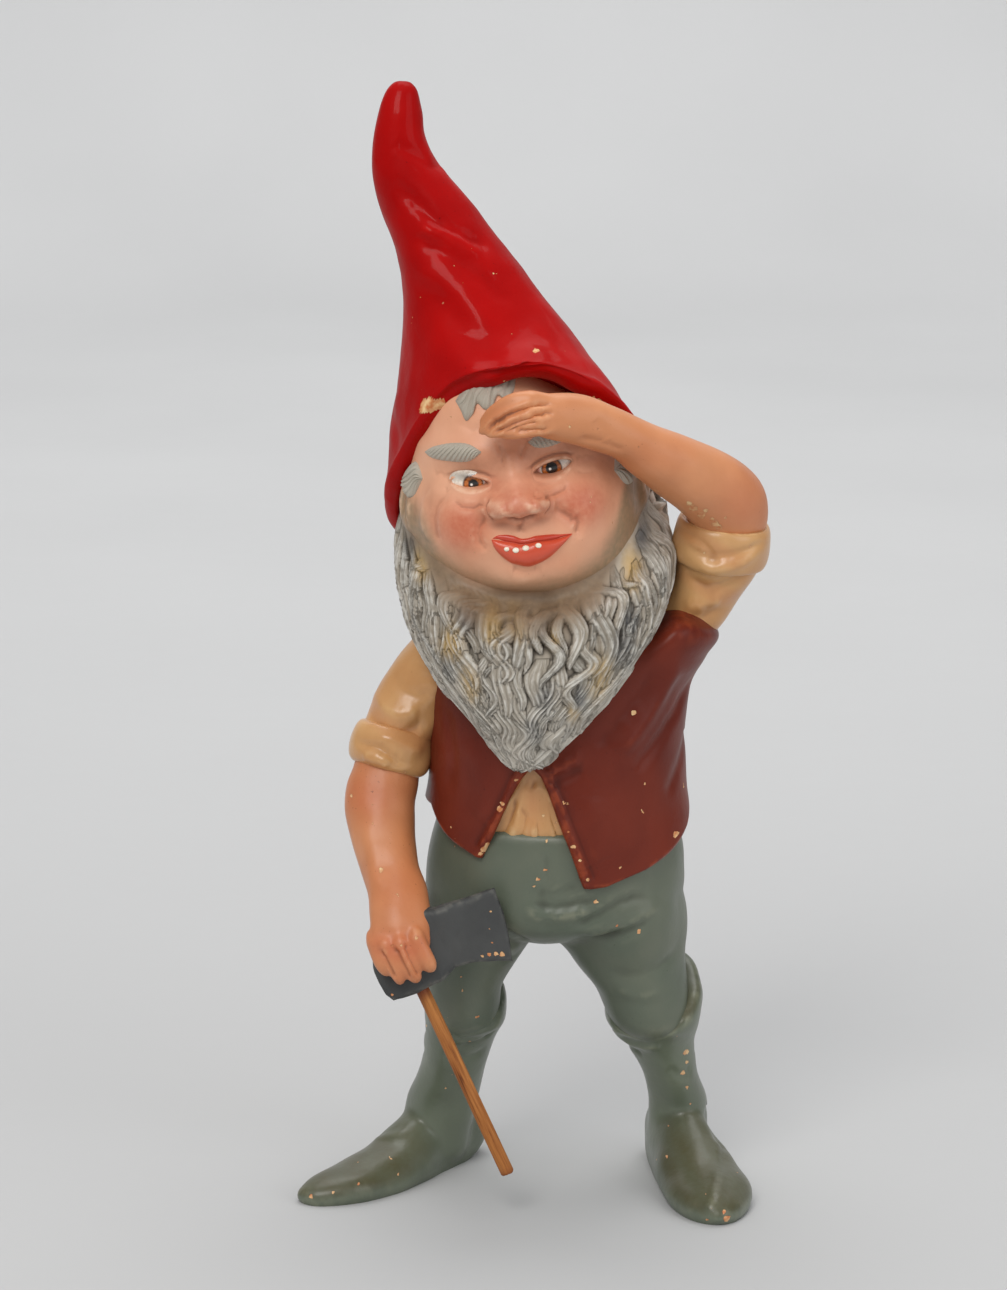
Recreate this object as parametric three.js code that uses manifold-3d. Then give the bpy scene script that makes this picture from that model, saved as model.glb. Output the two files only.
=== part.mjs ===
// Garden gnome: a hollow fired-clay figure, put together from separate casts, that shades its eyes with its
// left hand and holds an axe in its right. The axe has a loose wooden handle in a round socket.
// Millimetres, +Z up. The figure faces -Y, and left and right are its own. The origin is on the ground, at
// the middle of the figure's box.

import * as THREE from "three";
import { mergeVertices } from "three/addons/utils/BufferGeometryUtils.js";
import Module from "manifold-3d";

// Clearances and walls
const slip = 0.3; // the slip joint between two casts
const wall = 6; // the wall of a hollow cast
const ventRadius = 4; // the hole that lets the kiln heat out of the hollow

// Legs and hips
const waistHeight = 139; // the ground to the top of the trousers
const hipWidth = 96;
const hipDepth = 80;
const thighLength = 58;
const bootHeight = 72;
const bootWidth = 34; // across the flared top
const footLength = 83.2;
const footWidth = 30;
const heelBack = 32; // the heels behind the figure's axis
const rightHeelX = -23;
const leftHeelX = 48;
const rightToeTurn = 135; // degrees from +X, clockwise seen from above
const leftToeTurn = 81;
const ballSwing = 3.6; // how far the ball of each foot swings to the figure's left

// Trunk and waistcoat
const trunkX = 7; // the trunk's middle, beside the figure's axis
const trunkHeight = 76;
const trunkWidth = 85;
const trunkDepth = 73;
const vestThickness = 3.6;
const vestLap = 17; // how far the waistcoat hangs below the waist
const vestGap = 8; // between the front edges where they meet at the breast
const rightFrontSlope = 0.52; // how far each front edge runs out for every millimetre down
const leftFrontSlope = 0.4;

// Head, hair and hat
const headWidth = 83;
const headDepth = 86;
const headHeight = 104; // the bottom of the neck to the crown
const neckSink = 8; // the neck's depth in the collar
const hatWidth = 94;
const hatDepth = 90;
const hatHeight = 150; // the brim's lowest side to the tip
const brimAboveNeck = 35;
const hairWidth = 96;
const hairDepth = 92;
const beardLength = 90; // the cheeks to the tip
const beardTipBelowNeck = 49;
const eyeRadius = 5.2;
const eyeSpacing = 28;
const noseWidth = 17;
const mouthWidth = 27;
const toothRadius = 1.15;
const toothPitch = 3.3;

// Arms
const sleeveRadius = 12.5;
const cuffRoll = 2.2; // how far a rolled cuff stands out of its sleeve
const cuffWidth = 14;
const fingerRadius = 3.5;

// Axe
const axeTurn = 24; // degrees that the handle leans from the vertical
const axeLength = 49;
const axeHeight = 27;
const axeThickness = 12;
const axeEdge = 2.4; // thickness at the cutting edge
const pollLength = 12; // the handle's axis to the back of the head
const handleRadius = 2.5;
const handleClearance = 0.1;
const handleLength = 88;
const socketDepth = 14;

const wasm = await Module();
wasm.setup();

// ---- Solids -------------------------------------------------------------------------------------

// A closed geometry as a solid that can be joined and cut.
function solid(geometry) {
  const bare = geometry.clone();
  bare.deleteAttribute("normal");
  bare.deleteAttribute("uv");
  const merged = mergeVertices(bare, 1e-4);
  return new wasm.Manifold(
    new wasm.Mesh({
      numProp: 3,
      vertProperties: new Float32Array(merged.attributes.position.array),
      triVerts: new Uint32Array(merged.index.array),
    }),
  );
}

function geometryOf(body) {
  const mesh = body.getMesh();
  const geometry = new THREE.BufferGeometry();
  geometry.setAttribute("position", new THREE.BufferAttribute(mesh.vertProperties, 3));
  geometry.setIndex(new THREE.BufferAttribute(mesh.triVerts, 1));
  return geometry;
}

const join = (...bodies) => bodies.reduce((a, b) => a.add(b));

// A body less its neighbours, keeping its largest piece: slivers beyond a neighbour fall off.
function cut(body, ...others) {
  const pieces = others.reduce((a, b) => a.subtract(b), body).decompose();
  return pieces.sort((a, b) => b.volume() - a.volume())[0];
}

// Rows of numbers between the given rows, on a Catmull-Rom curve through them. Numbers left out are 0.
function between(given, steps) {
  const length = Math.max(...given.map((row) => row.length));
  const rows = given.map((row) => Array.from({ length }, (_, k) => row[k] ?? 0));
  const filled = [];
  for (let i = 0; i < rows.length - 1; i++) {
    const [p, a, b, n] = [rows[i - 1] ?? rows[i], rows[i], rows[i + 1], rows[i + 2] ?? rows[i + 1]];
    for (let s = 0; s < steps; s++) {
      const t = s / steps;
      const mix = (k) =>
        a[k] +
        0.5 * (b[k] - p[k]) * t +
        (p[k] - 2.5 * a[k] + 2 * b[k] - 0.5 * n[k]) * t * t +
        0.5 * (3 * a[k] - p[k] - 3 * b[k] + n[k]) * t * t * t;
      filled.push(a.map((_, k) => mix(k)));
    }
  }
  filled.push(rows.at(-1));
  return filled;
}

// A skin over rings of points, closed by a fan at each end.
function skin(rings) {
  const sides = rings[0].length;
  const middle = (ring) => ring.reduce((sum, p) => sum.add(p), new THREE.Vector3()).divideScalar(sides);
  const points = [...rings.flat(), middle(rings[0]), middle(rings.at(-1))];
  const [first, last] = [points.length - 2, points.length - 1];
  const end = (rings.length - 1) * sides;
  const faces = [];
  for (let s = 0; s < sides; s++) {
    const next = (s + 1) % sides;
    for (let r = 0; r < rings.length - 1; r++) {
      const [a, b, c, d] = [r * sides + s, r * sides + next, (r + 1) * sides + next, (r + 1) * sides + s];
      faces.push(a, b, c, a, c, d);
    }
    faces.push(first, next, s, last, end + s, end + next);
  }
  const geometry = new THREE.BufferGeometry().setFromPoints(points);
  geometry.setIndex(faces);
  const body = solid(geometry);
  return body.volume() < 0 ? solid(geometry.setIndex(faces.reverse())) : body;
}

// A cast that stands up: level rings, each [x, y, z, half width, half depth, front rise, bow, side rise].
// The front rise lifts a ring's front and sinks its back, the bow lifts both, and the side rise lifts its
// left side.
function standing(rows, { grow = 0, sides = 18, steps = 1 } = {}) {
  const rings = between(rows, steps).map(([x, y, z, wide, deep, front = 0, bow = 0, side = 0]) =>
    Array.from({ length: sides }, (_, s) => {
      const [c, n] = [Math.cos((2 * Math.PI * s) / sides), Math.sin((2 * Math.PI * s) / sides)];
      const rise = -front * n + bow * n * n + side * c;
      return new THREE.Vector3(x + (wide + grow) * c, y + (deep + grow) * n, z + rise);
    }),
  );
  const upwards = rings.at(-1)[0].z > rings[0][0].z ? 1 : -1;
  rings[0].forEach((p) => (p.z -= grow * upwards));
  rings.at(-1).forEach((p) => (p.z += grow * upwards));
  return skin(rings);
}

// A cast that follows a line: rings square to it, each [x, y, z, half width, half depth]. The half width
// lies along the direction across.
function limb(rows, across, { grow = 0, sides = 12, steps = 1 } = {}) {
  const filled = between(rows, steps);
  const at = filled.map(([x, y, z]) => new THREE.Vector3(x, y, z));
  const ahead = (i) => at[Math.min(i + 1, at.length - 1)].clone().sub(at[Math.max(i - 1, 0)]).normalize();
  at[0].addScaledVector(ahead(0), -grow);
  at.at(-1).addScaledVector(ahead(at.length - 1), grow);
  const rings = filled.map(([, , , wide, deep], i) => {
    const along = ahead(i);
    const side = across.clone().addScaledVector(along, -across.dot(along)).normalize();
    const up = along.clone().cross(side);
    return Array.from({ length: sides }, (_, s) => {
      const turn = (2 * Math.PI * s) / sides;
      return at[i]
        .clone()
        .addScaledVector(side, (wide + grow) * Math.cos(turn))
        .addScaledVector(up, (deep + grow) * Math.sin(turn));
    });
  });
  return skin(rings);
}

// A round-cornered ball, squashed to its three radii and turned by degrees in the plane that the viewer sees.
function lump([x, y, z], [rx, ry, rz], { turn = 0, grow = 0, sides = 10 } = {}) {
  const ball = new THREE.SphereGeometry(1, sides, Math.round(sides * 0.7));
  ball.rotateX(Math.PI / 2).scale(rx + grow, ry + grow, rz + grow);
  return solid(ball.rotateY(THREE.MathUtils.degToRad(-turn)).translate(x, y, z));
}

// A block between two corners.
function block(low, high) {
  const [size, mid] = [high.map((h, k) => h - low[k]), high.map((h, k) => (h + low[k]) / 2)];
  return solid(new THREE.BoxGeometry(...size).translate(...mid));
}

const far = 500; // past everything
const aboveGround = block([-far, -far, 0], [far, far, far]);

// A table of shares as rows of millimetres: each row is [x, y, height, width, depth, rises...], as shares of
// half the width, half the depth and the whole height; the rises are shares of half the depth.
const shaped = ([x, y, z], [width, depth, height], shares) =>
  shares.map(([sx, sy, up, wide, deep, ...rises]) => [
    x + (sx * width) / 2,
    y + (sy * depth) / 2,
    z + up * height,
    (wide * width) / 2,
    (deep * depth) / 2,
    ...rises.map((r) => (r * depth) / 2),
  ]);

// The same rows with their radii less the wall, leaving out those that are too thin to be hollow.
const inner = (rows) =>
  rows
    .filter(([, , , wide, deep]) => Math.min(wide, deep) > wall + 3)
    .map(([x, y, z, wide, deep, ...rises]) => [x, y, z, wide - wall, deep - wall, ...rises]);

// A row moved up, or down when the way is negative, so that a hollow breaks out of its cast.
const raised = ([x, y, z, ...rest], way) => [x, y, z + way, ...rest];

// ---- Legs: trousers and boots -------------------------------------------------------------------

const hips = [trunkX, -1, waistHeight];
const hipRows = shaped([...hips.slice(0, 2), 0], [hipWidth, hipDepth, waistHeight], [
  [-0.1, 0, 0.662, 0.26, 0.5],
  [-0.06, 0, 0.69, 0.62, 0.8],
  [-0.02, 0, 0.74, 0.9, 0.97],
  [-0.01, 0, 0.8, 0.98, 1.01],
  [-0.01, 0, 0.87, 0.98, 1],
  [0, -0.02, 0.92, 0.96, 0.98],
  [0, -0.03, 0.98, 0.93, 0.95],
  [0, -0.03, 1, 0.88, 0.9],
]);

// A thigh from the hips down into its boot. The shares are of the way down and of half the hips' width.
const thighRows = (top, knee, shares) =>
  shares.map(([down, wide, deep]) => [
    top[0] + (knee[0] - top[0]) * down,
    top[1] + (knee[1] - top[1]) * down,
    top[2] - thighLength * down,
    (wide * hipWidth) / 2,
    (deep * hipDepth) / 2,
  ]);
const thighTop = waistHeight - 27;
const rightKnee = [hips[0] - 0.66 * (hipWidth / 2), -1];
const leftKnee = [hips[0] + 0.69 * (hipWidth / 2), -2];
const rightThighRows = thighRows([hips[0] - 0.52 * (hipWidth / 2), -1, thighTop], rightKnee, [
  [0, 0.46, 0.8],
  [0.28, 0.45, 0.66],
  [0.52, 0.38, 0.56],
  [0.72, 0.32, 0.46],
  [0.9, 0.27, 0.38],
  [1, 0.16, 0.22],
]);
const leftThighRows = thighRows([hips[0] + 0.46 * (hipWidth / 2), -1, thighTop], leftKnee, [
  [0, 0.5, 0.8],
  [0.28, 0.5, 0.68],
  [0.5, 0.45, 0.6],
  [0.68, 0.38, 0.51],
  [0.86, 0.3, 0.43],
  [1, 0.16, 0.22],
]);
const trousersOuter = (grow = 0) =>
  join(
    standing(hipRows, { grow }),
    standing(rightThighRows, { grow, sides: 14 }),
    standing(leftThighRows, { grow, sides: 14 }),
  );

// A boot: a shaft under the knee, and a foot from the heel to the toe, flat on the ground.
function boot(knee, heelX, toeTurn) {
  const turn = THREE.MathUtils.degToRad(toeTurn);
  const [alongX, alongY] = [Math.cos(turn), -Math.sin(turn)];
  const onFoot = (s, side = 0) => [
    heelX + alongX * s * footLength - alongY * side,
    heelBack + alongY * s * footLength + alongX * side,
  ];
  const ankle = onFoot(0.24);
  const half = bootWidth / 2;
  const shaft = [
    [0, 0.94, 1.02],
    [0.1, 1, 1.08],
    [0.2, 0.93, 1.0],
    [0.35, 0.76, 0.88],
    [0.52, 0.68, 0.8],
    [0.7, 0.68, 0.8],
    [0.9, 0.72, 0.82],
    [0.97, 0.66, 0.75],
  ].map(([down, wide, deep]) => {
    const lean = Math.min(1, down / 0.8);
    const [x, y] = [knee[0] + (ankle[0] - knee[0]) * lean, knee[1] + (ankle[1] - knee[1]) * lean];
    return [x, y, bootHeight * (1 - down), wide * half, deep * half];
  });
  const foot = [
    [0.01, 0, 0.4, 0.14],
    [0.09, 0, 0.7, 0.26],
    [0.22, 0, 0.8, 0.34],
    [0.36, 0.15, 0.84, 0.28],
    [0.49, 0.6, 0.94, 0.215],
    [0.63, 1, 1, 0.18],
    [0.77, 0.6, 0.84, 0.155],
    [0.88, 0.2, 0.6, 0.13],
    [0.96, 0, 0.34, 0.1],
    [0.995, 0, 0.16, 0.06],
  ].map(([s, swing, wide, top]) => {
    const [x, y] = onFoot(s, swing * ballSwing);
    const height = top * footLength;
    return [x, y, 0.34 * height, (wide * footWidth) / 2, 0.66 * height];
  });
  const acrossFoot = new THREE.Vector3(-alongY, alongX, 0);
  const bore = inner(shaft.slice(0, 6));
  bore[0] = raised(bore[0], 2 * wall);
  return {
    outside: join(standing(shaft, { sides: 14 }), limb(foot, acrossFoot)).intersect(aboveGround),
    hollow: standing(bore, { sides: 10 }),
  };
}
const rightBootSpec = [rightKnee, rightHeelX, rightToeTurn];
const leftBootSpec = [leftKnee, leftHeelX, leftToeTurn];

// ---- Trunk, waistcoat and collar ----------------------------------------------------------------

const neckHeight = waistHeight + trunkHeight;
const trunkAt = [trunkX, -2, waistHeight];
const trunkSize = [trunkWidth, trunkDepth, trunkHeight];
const trunkShares = [
  [0, 0, -0.07, 0.97, 0.96],
  [0, 0, 0.2, 1, 1],
  [0, 0, 0.41, 0.99, 0.99],
  [0.02, 0, 0.63, 1.01, 0.94],
  [0.11, 0, 0.78, 1.06, 0.84],
  [0.17, 0.02, 0.87, 0.99, 0.74],
  [0.08, 0.05, 0.94, 0.72, 0.62],
  [-0.1, 0.08, 0.99, 0.45, 0.5],
  [-0.14, 0.1, 1.02, 0.3, 0.38],
];
const trunkRows = shaped(trunkAt, trunkSize, trunkShares);
const trunkOuter = (grow = 0) => standing(trunkRows, { grow });

// The waistcoat follows the trunk at its own thickness. Its hem hangs over the trousers, lowest in front.
const vestRows = [
  [
    ...[trunkX + 0.8, -1.6, waistHeight - vestLap * 0.35],
    ...[hipWidth / 2 + 0.8, hipDepth / 2 + 0.6, -1, -vestLap * 0.45, -3.5],
  ],
  [
    ...[trunkX + 0.6, -1.8, waistHeight + 4],
    ...[trunkWidth / 2 + vestThickness + 0.8, trunkDepth / 2 + vestThickness + 0.6, 0, -4, -1.5],
  ],
  ...trunkRows.slice(1).map(([x, y, z, wide, deep]) => [x, y, z, wide + vestThickness, deep + vestThickness]),
];

// ---- Head, hat and hair -------------------------------------------------------------------------

const headAt = [-5, -8, neckHeight - neckSink];
const headSize = [headWidth, headDepth, headHeight];
const headRows = shaped(headAt, headSize, [
  [0.12, 0.23, 0, 0.36, 0.38],
  [0.1, 0.2, 0.08, 0.5, 0.52],
  [0.05, 0.1, 0.16, 0.72, 0.76],
  [0.02, -0.01, 0.25, 0.9, 0.93],
  [0, -0.02, 0.37, 0.99, 1],
  [0, 0, 0.5, 1, 0.99],
  [-0.02, 0.02, 0.62, 0.97, 0.96],
  [-0.1, 0.04, 0.72, 0.87, 0.91],
  [-0.24, 0.06, 0.82, 0.71, 0.84],
  [-0.33, 0.09, 0.9, 0.57, 0.71],
  [-0.38, 0.12, 0.97, 0.37, 0.47],
  [-0.39, 0.13, 1, 0.15, 0.2],
]);
const headOuter = (grow = 0) => standing(headRows, { grow, sides: 20 });

// Where a feature sits on the face: across and up from the middle of the face, in the face's own tilted
// frame, and how deep it is sunk under the skin. The eyes, the nose and the mouth all use it.
const faceTilt = THREE.MathUtils.degToRad(8);
const faceMiddle = [headAt[0] - 2, headAt[2] + 0.53 * headHeight];
function onFace(across, up, sink) {
  const x = faceMiddle[0] + across * Math.cos(faceTilt) - up * Math.sin(faceTilt);
  const z = faceMiddle[1] + across * Math.sin(faceTilt) + up * Math.cos(faceTilt);
  const level = between(headRows, 6).reduce((a, b) => (Math.abs(b[2] - z) < Math.abs(a[2] - z) ? b : a));
  const share = Math.min(0.98, Math.abs(x - level[0]) / level[3]);
  return [x, level[1] - level[4] * Math.sqrt(1 - share * share) + sink, z];
}
const tiltDegrees = THREE.MathUtils.radToDeg(faceTilt);

const hatAt = [-7, -3, neckHeight + brimAboveNeck];
const hatRows = shaped(hatAt, [hatWidth, hatDepth, hatHeight], [
  [0, 0, 0.05, 1, 1, 0.7, 0.28, 0.16],
  [-0.04, 0, 0.13, 0.94, 0.92, 0.58, 0.2, 0.13],
  [-0.1, 0.01, 0.24, 0.83, 0.8, 0.38, 0.1, 0.1],
  [-0.2, 0.02, 0.37, 0.67, 0.67, 0.2, 0.02, 0.04],
  [-0.34, 0.03, 0.5, 0.52, 0.53, 0.07, 0, 0],
  [-0.5, 0.05, 0.61, 0.42, 0.44, 0, 0, 0],
  [-0.66, 0.07, 0.7, 0.35, 0.36, 0, 0, 0],
  [-0.81, 0.08, 0.785, 0.265, 0.275, 0, 0, 0],
  [-0.88, 0.08, 0.86, 0.2, 0.215, 0, 0, 0],
  [-0.87, 0.08, 0.93, 0.165, 0.175, 0, 0, 0],
  [-0.86, 0.08, 0.98, 0.115, 0.125, 0, 0, 0],
  [-0.85, 0.08, 1.003, 0.04, 0.05, 0, 0, 0],
]);
const hatOuter = (grow = 0) => standing(hatRows, { grow });
const hatHollow = standing(inner(hatRows.slice(2, 7)), { sides: 14 });

// Beard and back hair are one mass round the jaw, which the mould parts behind the ears.
const hairAt = [-1, -8, neckHeight - beardTipBelowNeck];
const hairRows = shaped(hairAt, [hairWidth, hairDepth, beardLength], [
  [-0.05, 0.02, 1.02, 0.91, 0.92, -0.4, -0.23, 0],
  [-0.01, 0, 0.89, 1, 1, -0.3, -0.2, 0],
  [0.01, -0.04, 0.73, 0.99, 1.03, -0.17, -0.13, 0],
  [0, -0.13, 0.57, 0.92, 1, -0.09, -0.09, 0],
  [-0.02, -0.26, 0.41, 0.76, 0.87, -0.06, -0.04, 0],
  [-0.04, -0.41, 0.27, 0.57, 0.69, 0, 0, 0],
  [-0.03, -0.52, 0.155, 0.38, 0.5, 0, 0, 0],
  [-0.02, -0.6, 0.065, 0.21, 0.33, 0, 0, 0],
  [-0.02, -0.68, 0, 0.08, 0.17, 0, 0, 0],
]);
const hairMass = standing(hairRows, { sides: 20 });
const partingY = hairAt[1] + 0.28 * (hairDepth / 2);

// ---- Arms ---------------------------------------------------------------------------------------

const sideX = new THREE.Vector3(1, 0, 0);
const upwards = new THREE.Vector3(0, 0, 1);
const shoulderHeight = neckHeight - 19;
const rightShoulder = [trunkX - 0.8 * (trunkWidth / 2), 1, shoulderHeight];
const leftShoulder = [trunkX + 1.1 * (trunkWidth / 2), -2, shoulderHeight + 4];
const from = (point, offset) => point.map((p, k) => p + offset[k]);

const rightCuffAt = from(rightShoulder, [-25, -5, -34]);
const rightSleeveRows = [
  [...from(rightShoulder, [4, 0, 5]), sleeveRadius - 1, sleeveRadius + 1],
  [...from(rightShoulder, [-5, 0, -1]), sleeveRadius + 0.5, sleeveRadius + 2.5],
  [...from(rightShoulder, [-14, -1, -12]), sleeveRadius + 0.5, sleeveRadius + 2],
  [...from(rightCuffAt, [4.5, 2, 10]), sleeveRadius, sleeveRadius + 1.5],
  [...rightCuffAt, sleeveRadius - 0.5, sleeveRadius + 1],
];
const leftCuffAt = from(leftShoulder, [11.5, -6, 42]);
const leftSleeveRows = [
  [...from(leftShoulder, [-6, 0, -5]), sleeveRadius - 2, sleeveRadius + 1],
  [...from(leftShoulder, [0, 0, 6]), sleeveRadius - 1, sleeveRadius + 1.5],
  [...from(leftShoulder, [5, -1, 18]), sleeveRadius - 0.5, sleeveRadius + 1.5],
  [...from(leftShoulder, [9, -3, 31]), sleeveRadius + 2.5, sleeveRadius + 3.5],
  [...leftCuffAt, sleeveRadius + 2.5, sleeveRadius + 4],
];

// A rolled cuff round the end of a sleeve, from the cuff's middle along the sleeve.
function cuffRows(rows, at, lean) {
  const [, , , wide, deep] = rows.at(-1);
  return [
    [-0.5, -0.4],
    [-0.36, 0.6],
    [0, 1],
    [0.34, 0.7],
    [0.5, -0.2],
  ].map(([along, out]) => [
    ...at.map((p, k) => p + lean[k] * along * cuffWidth),
    wide + cuffRoll * out + 0.8,
    deep + cuffRoll * out + 0.8,
  ]);
}
const rightCuffRows = cuffRows(rightSleeveRows, from(rightCuffAt, [0, 0, 1]), [-0.25, -0.15, -0.96]);
const leftCuffRows = cuffRows(leftSleeveRows, from(leftCuffAt, [-0.4, 0, -3]), [0.15, -0.1, 0.98]);

// The axe's own frame: its socket's mouth, the way to the cutting edge, and the way that the handle points.
const fistAt = from(rightCuffAt, [5.5, -47.5, -57]);
const eye = new THREE.Vector3(...from(fistAt, [5.8, 8.5, -19.6]));
const lean = THREE.MathUtils.degToRad(axeTurn);
const toEdge = new THREE.Vector3(Math.cos(lean), 0, Math.sin(lean));
const toHandle = new THREE.Vector3(Math.sin(lean), 0, -Math.cos(lean));
const axeFrame = new THREE.Matrix4()
  .makeBasis(toEdge, new THREE.Vector3(0, 1, 0), toHandle.clone().negate())
  .setPosition(eye);

// The right forearm hangs, and its hand lies over the front of the axe with the finger ends under it.
const rightForearmRows = [
  [...from(rightCuffAt, [-0.8, 0, 1]), 11.4, 12],
  [...from(rightCuffAt, [-2, -2.5, -8]), 12, 12.3],
  [...from(rightCuffAt, [-4, -7, -17]), 12.2, 12.2],
  [...from(rightCuffAt, [-2.5, -14, -28]), 11.2, 11.4],
  [...from(rightCuffAt, [0.5, -23, -38]), 10, 10],
  [...from(rightCuffAt, [2.5, -32, -46]), 9.4, 8.8],
  [...from(rightCuffAt, [4.3, -41, -51.5]), 10.3, 8],
  [...fistAt, 11, 6.4],
  [...from(fistAt, [1.2, -3.5, -6]), 10, 4.5],
];
const fingerRow = (at, radius) => [...at, radius, radius];
const finger = (rows, across, grow = 0) => limb(rows, across, { grow, sides: 8 });
const fistFingers = (grow = 0) =>
  [0, 1, 2, 3].map((i) => {
    const reach = [3, 0, 0, 3.6][i];
    const root = from(fistAt, [-8 + 5 * i, -3.5, -1 + reach * 0.3]);
    return finger(
      [
        fingerRow(from(root, [-0.6, 2.5, 4]), fingerRadius * 0.9),
        fingerRow(root, fingerRadius * 1.1),
        fingerRow(from(root, [1.6, -1, -6]), fingerRadius * 1.04),
        fingerRow(from(root, [3.2, -0.5, -12 + reach]), fingerRadius),
        fingerRow(from(root, [3.8, 0.5, -15 + reach]), fingerRadius * 0.6),
      ],
      sideX,
      grow,
    );
  });
const rightForearmOuter = (grow = 0) => join(limb(rightForearmRows, sideX, { grow }), ...fistFingers(grow));

// The left forearm goes up from the elbow, and its flat hand shades the eyes in front of the brow.
const elbow = from(leftCuffAt, [4, -6, 9]);
const brow = [headAt[0] - 0.03 * headWidth, headAt[1] - headDepth / 2 - 3, neckHeight + 77];
const wrist = from(brow, [32, 8, -7]);
const reachTo = (share, bulge) => elbow.map((e, k) => e + (wrist[k] - e) * share + bulge[k]);
const leftForearmRows = [
  [...reachTo(-0.2, [1, 0, -2]), 5, 5],
  [...reachTo(-0.13, [1, 0, -1]), 10.5, 10.5],
  [...elbow, 13.4, 13.2],
  [...reachTo(0.24, [0, 0, 0.5]), 13, 12.8],
  [...reachTo(0.5, [0, 0, 0]), 11.6, 11.8],
  [...reachTo(0.76, [0, 0, -0.5]), 9.8, 10.3],
  [...wrist, 7.8, 8.6],
  [...from(wrist, [-12, -6, 5]), 7.9, 7],
  [...from(wrist, [-21, -9.5, 7]), 7.8, 6.2],
  [...from(wrist, [-28, -11, 7]), 7.2, 5],
];
const elbowStump = (grow = 0) =>
  limb(
    [
      [...from(leftCuffAt, [0, 0, 0.5]), 13.5, 14],
      [...from(leftCuffAt, [1, -1, 5]), 13.8, 14],
      [...from(leftCuffAt, [1.5, -2, 10]), 11, 11],
    ],
    sideX,
    { grow },
  );
const visorFingers = (grow = 0) =>
  [0, 1, 2, 3].map((i) => {
    const knuckle = from(wrist, [-27, -10 - [0, 1.6, 2, 1.6][i], 12 - 3.2 * i]);
    const reach = [20, 18.6, 13.8, 8.4][i];
    return finger(
      [
        fingerRow(from(knuckle, [6, 1, -0.5]), fingerRadius * 0.95),
        fingerRow(knuckle, fingerRadius),
        fingerRow(from(knuckle, [-reach * 0.55, 3, -1.7 - 0.2 * reach + i]), fingerRadius * 0.9),
        fingerRow(from(knuckle, [-reach * 0.92, 7 - i, -2.4 - 0.3 * reach + 1.5 * i]), fingerRadius * 0.75),
        fingerRow(from(knuckle, [-reach, 8 - i, -3 - 0.33 * reach + 1.5 * i]), fingerRadius * 0.4),
      ],
      upwards,
      grow,
    );
  });
const leftForearmOuter = (grow = 0) =>
  join(limb(leftForearmRows, upwards, { grow }), elbowStump(grow), ...visorFingers(grow));

// ---- Axe ----------------------------------------------------------------------------------------

// A flat outline drawn in the axe's frame, [towards the edge, up the head], given its full thickness.
function plate(points, thickness) {
  const shape = new THREE.Shape(points.map(([u, w]) => new THREE.Vector2(u, w)));
  const bevel = 0.5;
  const geometry = new THREE.ExtrudeGeometry(shape, {
    depth: thickness - 2 * bevel,
    bevelSize: bevel,
    bevelThickness: bevel,
    bevelOffset: -bevel,
    bevelSegments: 1,
  });
  return solid(geometry.translate(0, 0, bevel - thickness / 2).rotateX(Math.PI / 2));
}
const bitLength = axeLength - pollLength;
const lug = pollLength * 0.78; // the socket's wall towards the edge
const beardDrop = 3.6; // how far the edge's lower corner hangs below the socket's mouth
const axeBody = (grow = 0) => {
  const face = plate(
    [
      [-pollLength - grow, 3.5],
      [-pollLength + 2.5, -grow],
      [lug, -grow],
      [lug + 3.5, 2.4 - grow],
      [bitLength * 0.65, 0.8 - grow],
      [bitLength - 3.3 + grow, -beardDrop - grow],
      [bitLength - 1.2 + grow, axeHeight * 0.35],
      [bitLength + 1.6 + grow, axeHeight - 3.4 + grow],
      [bitLength * 0.65, axeHeight - 1.6 + grow],
      [-pollLength + 3, axeHeight + grow],
      [-pollLength - grow, axeHeight - 5],
    ],
    axeThickness + 2 * grow,
  );
  const half = axeThickness / 2 + grow;
  const wedge = new THREE.Shape(
    [
      [-pollLength - 1 - grow, half],
      [-pollLength - 1 - grow, -half],
      [lug, -half],
      [lug + 6, -half * 0.6],
      [bitLength + 2 + grow, -axeEdge / 2 - grow],
      [bitLength + 2 + grow, axeEdge / 2 + grow],
      [lug + 6, half * 0.6],
      [lug, half],
    ].map(([u, v]) => new THREE.Vector2(u, v)),
  );
  const plan = new THREE.ExtrudeGeometry(wedge, { depth: axeHeight + 12, bevelEnabled: false });
  return face.intersect(solid(plan.translate(0, 0, -6)));
};
const rod = (radius, low, high, sides = 16) =>
  solid(
    new THREE.CylinderGeometry(radius, radius, high - low, sides)
      .rotateX(Math.PI / 2)
      .translate(0, 0, (low + high) / 2),
  );
const inAxeFrame = (body) => body.transform(axeFrame.elements);
const socket = rod(handleRadius + handleClearance, -1, socketDepth);

// ---- The casts, each cut where a neighbour takes the room ---------------------------------------

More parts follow.
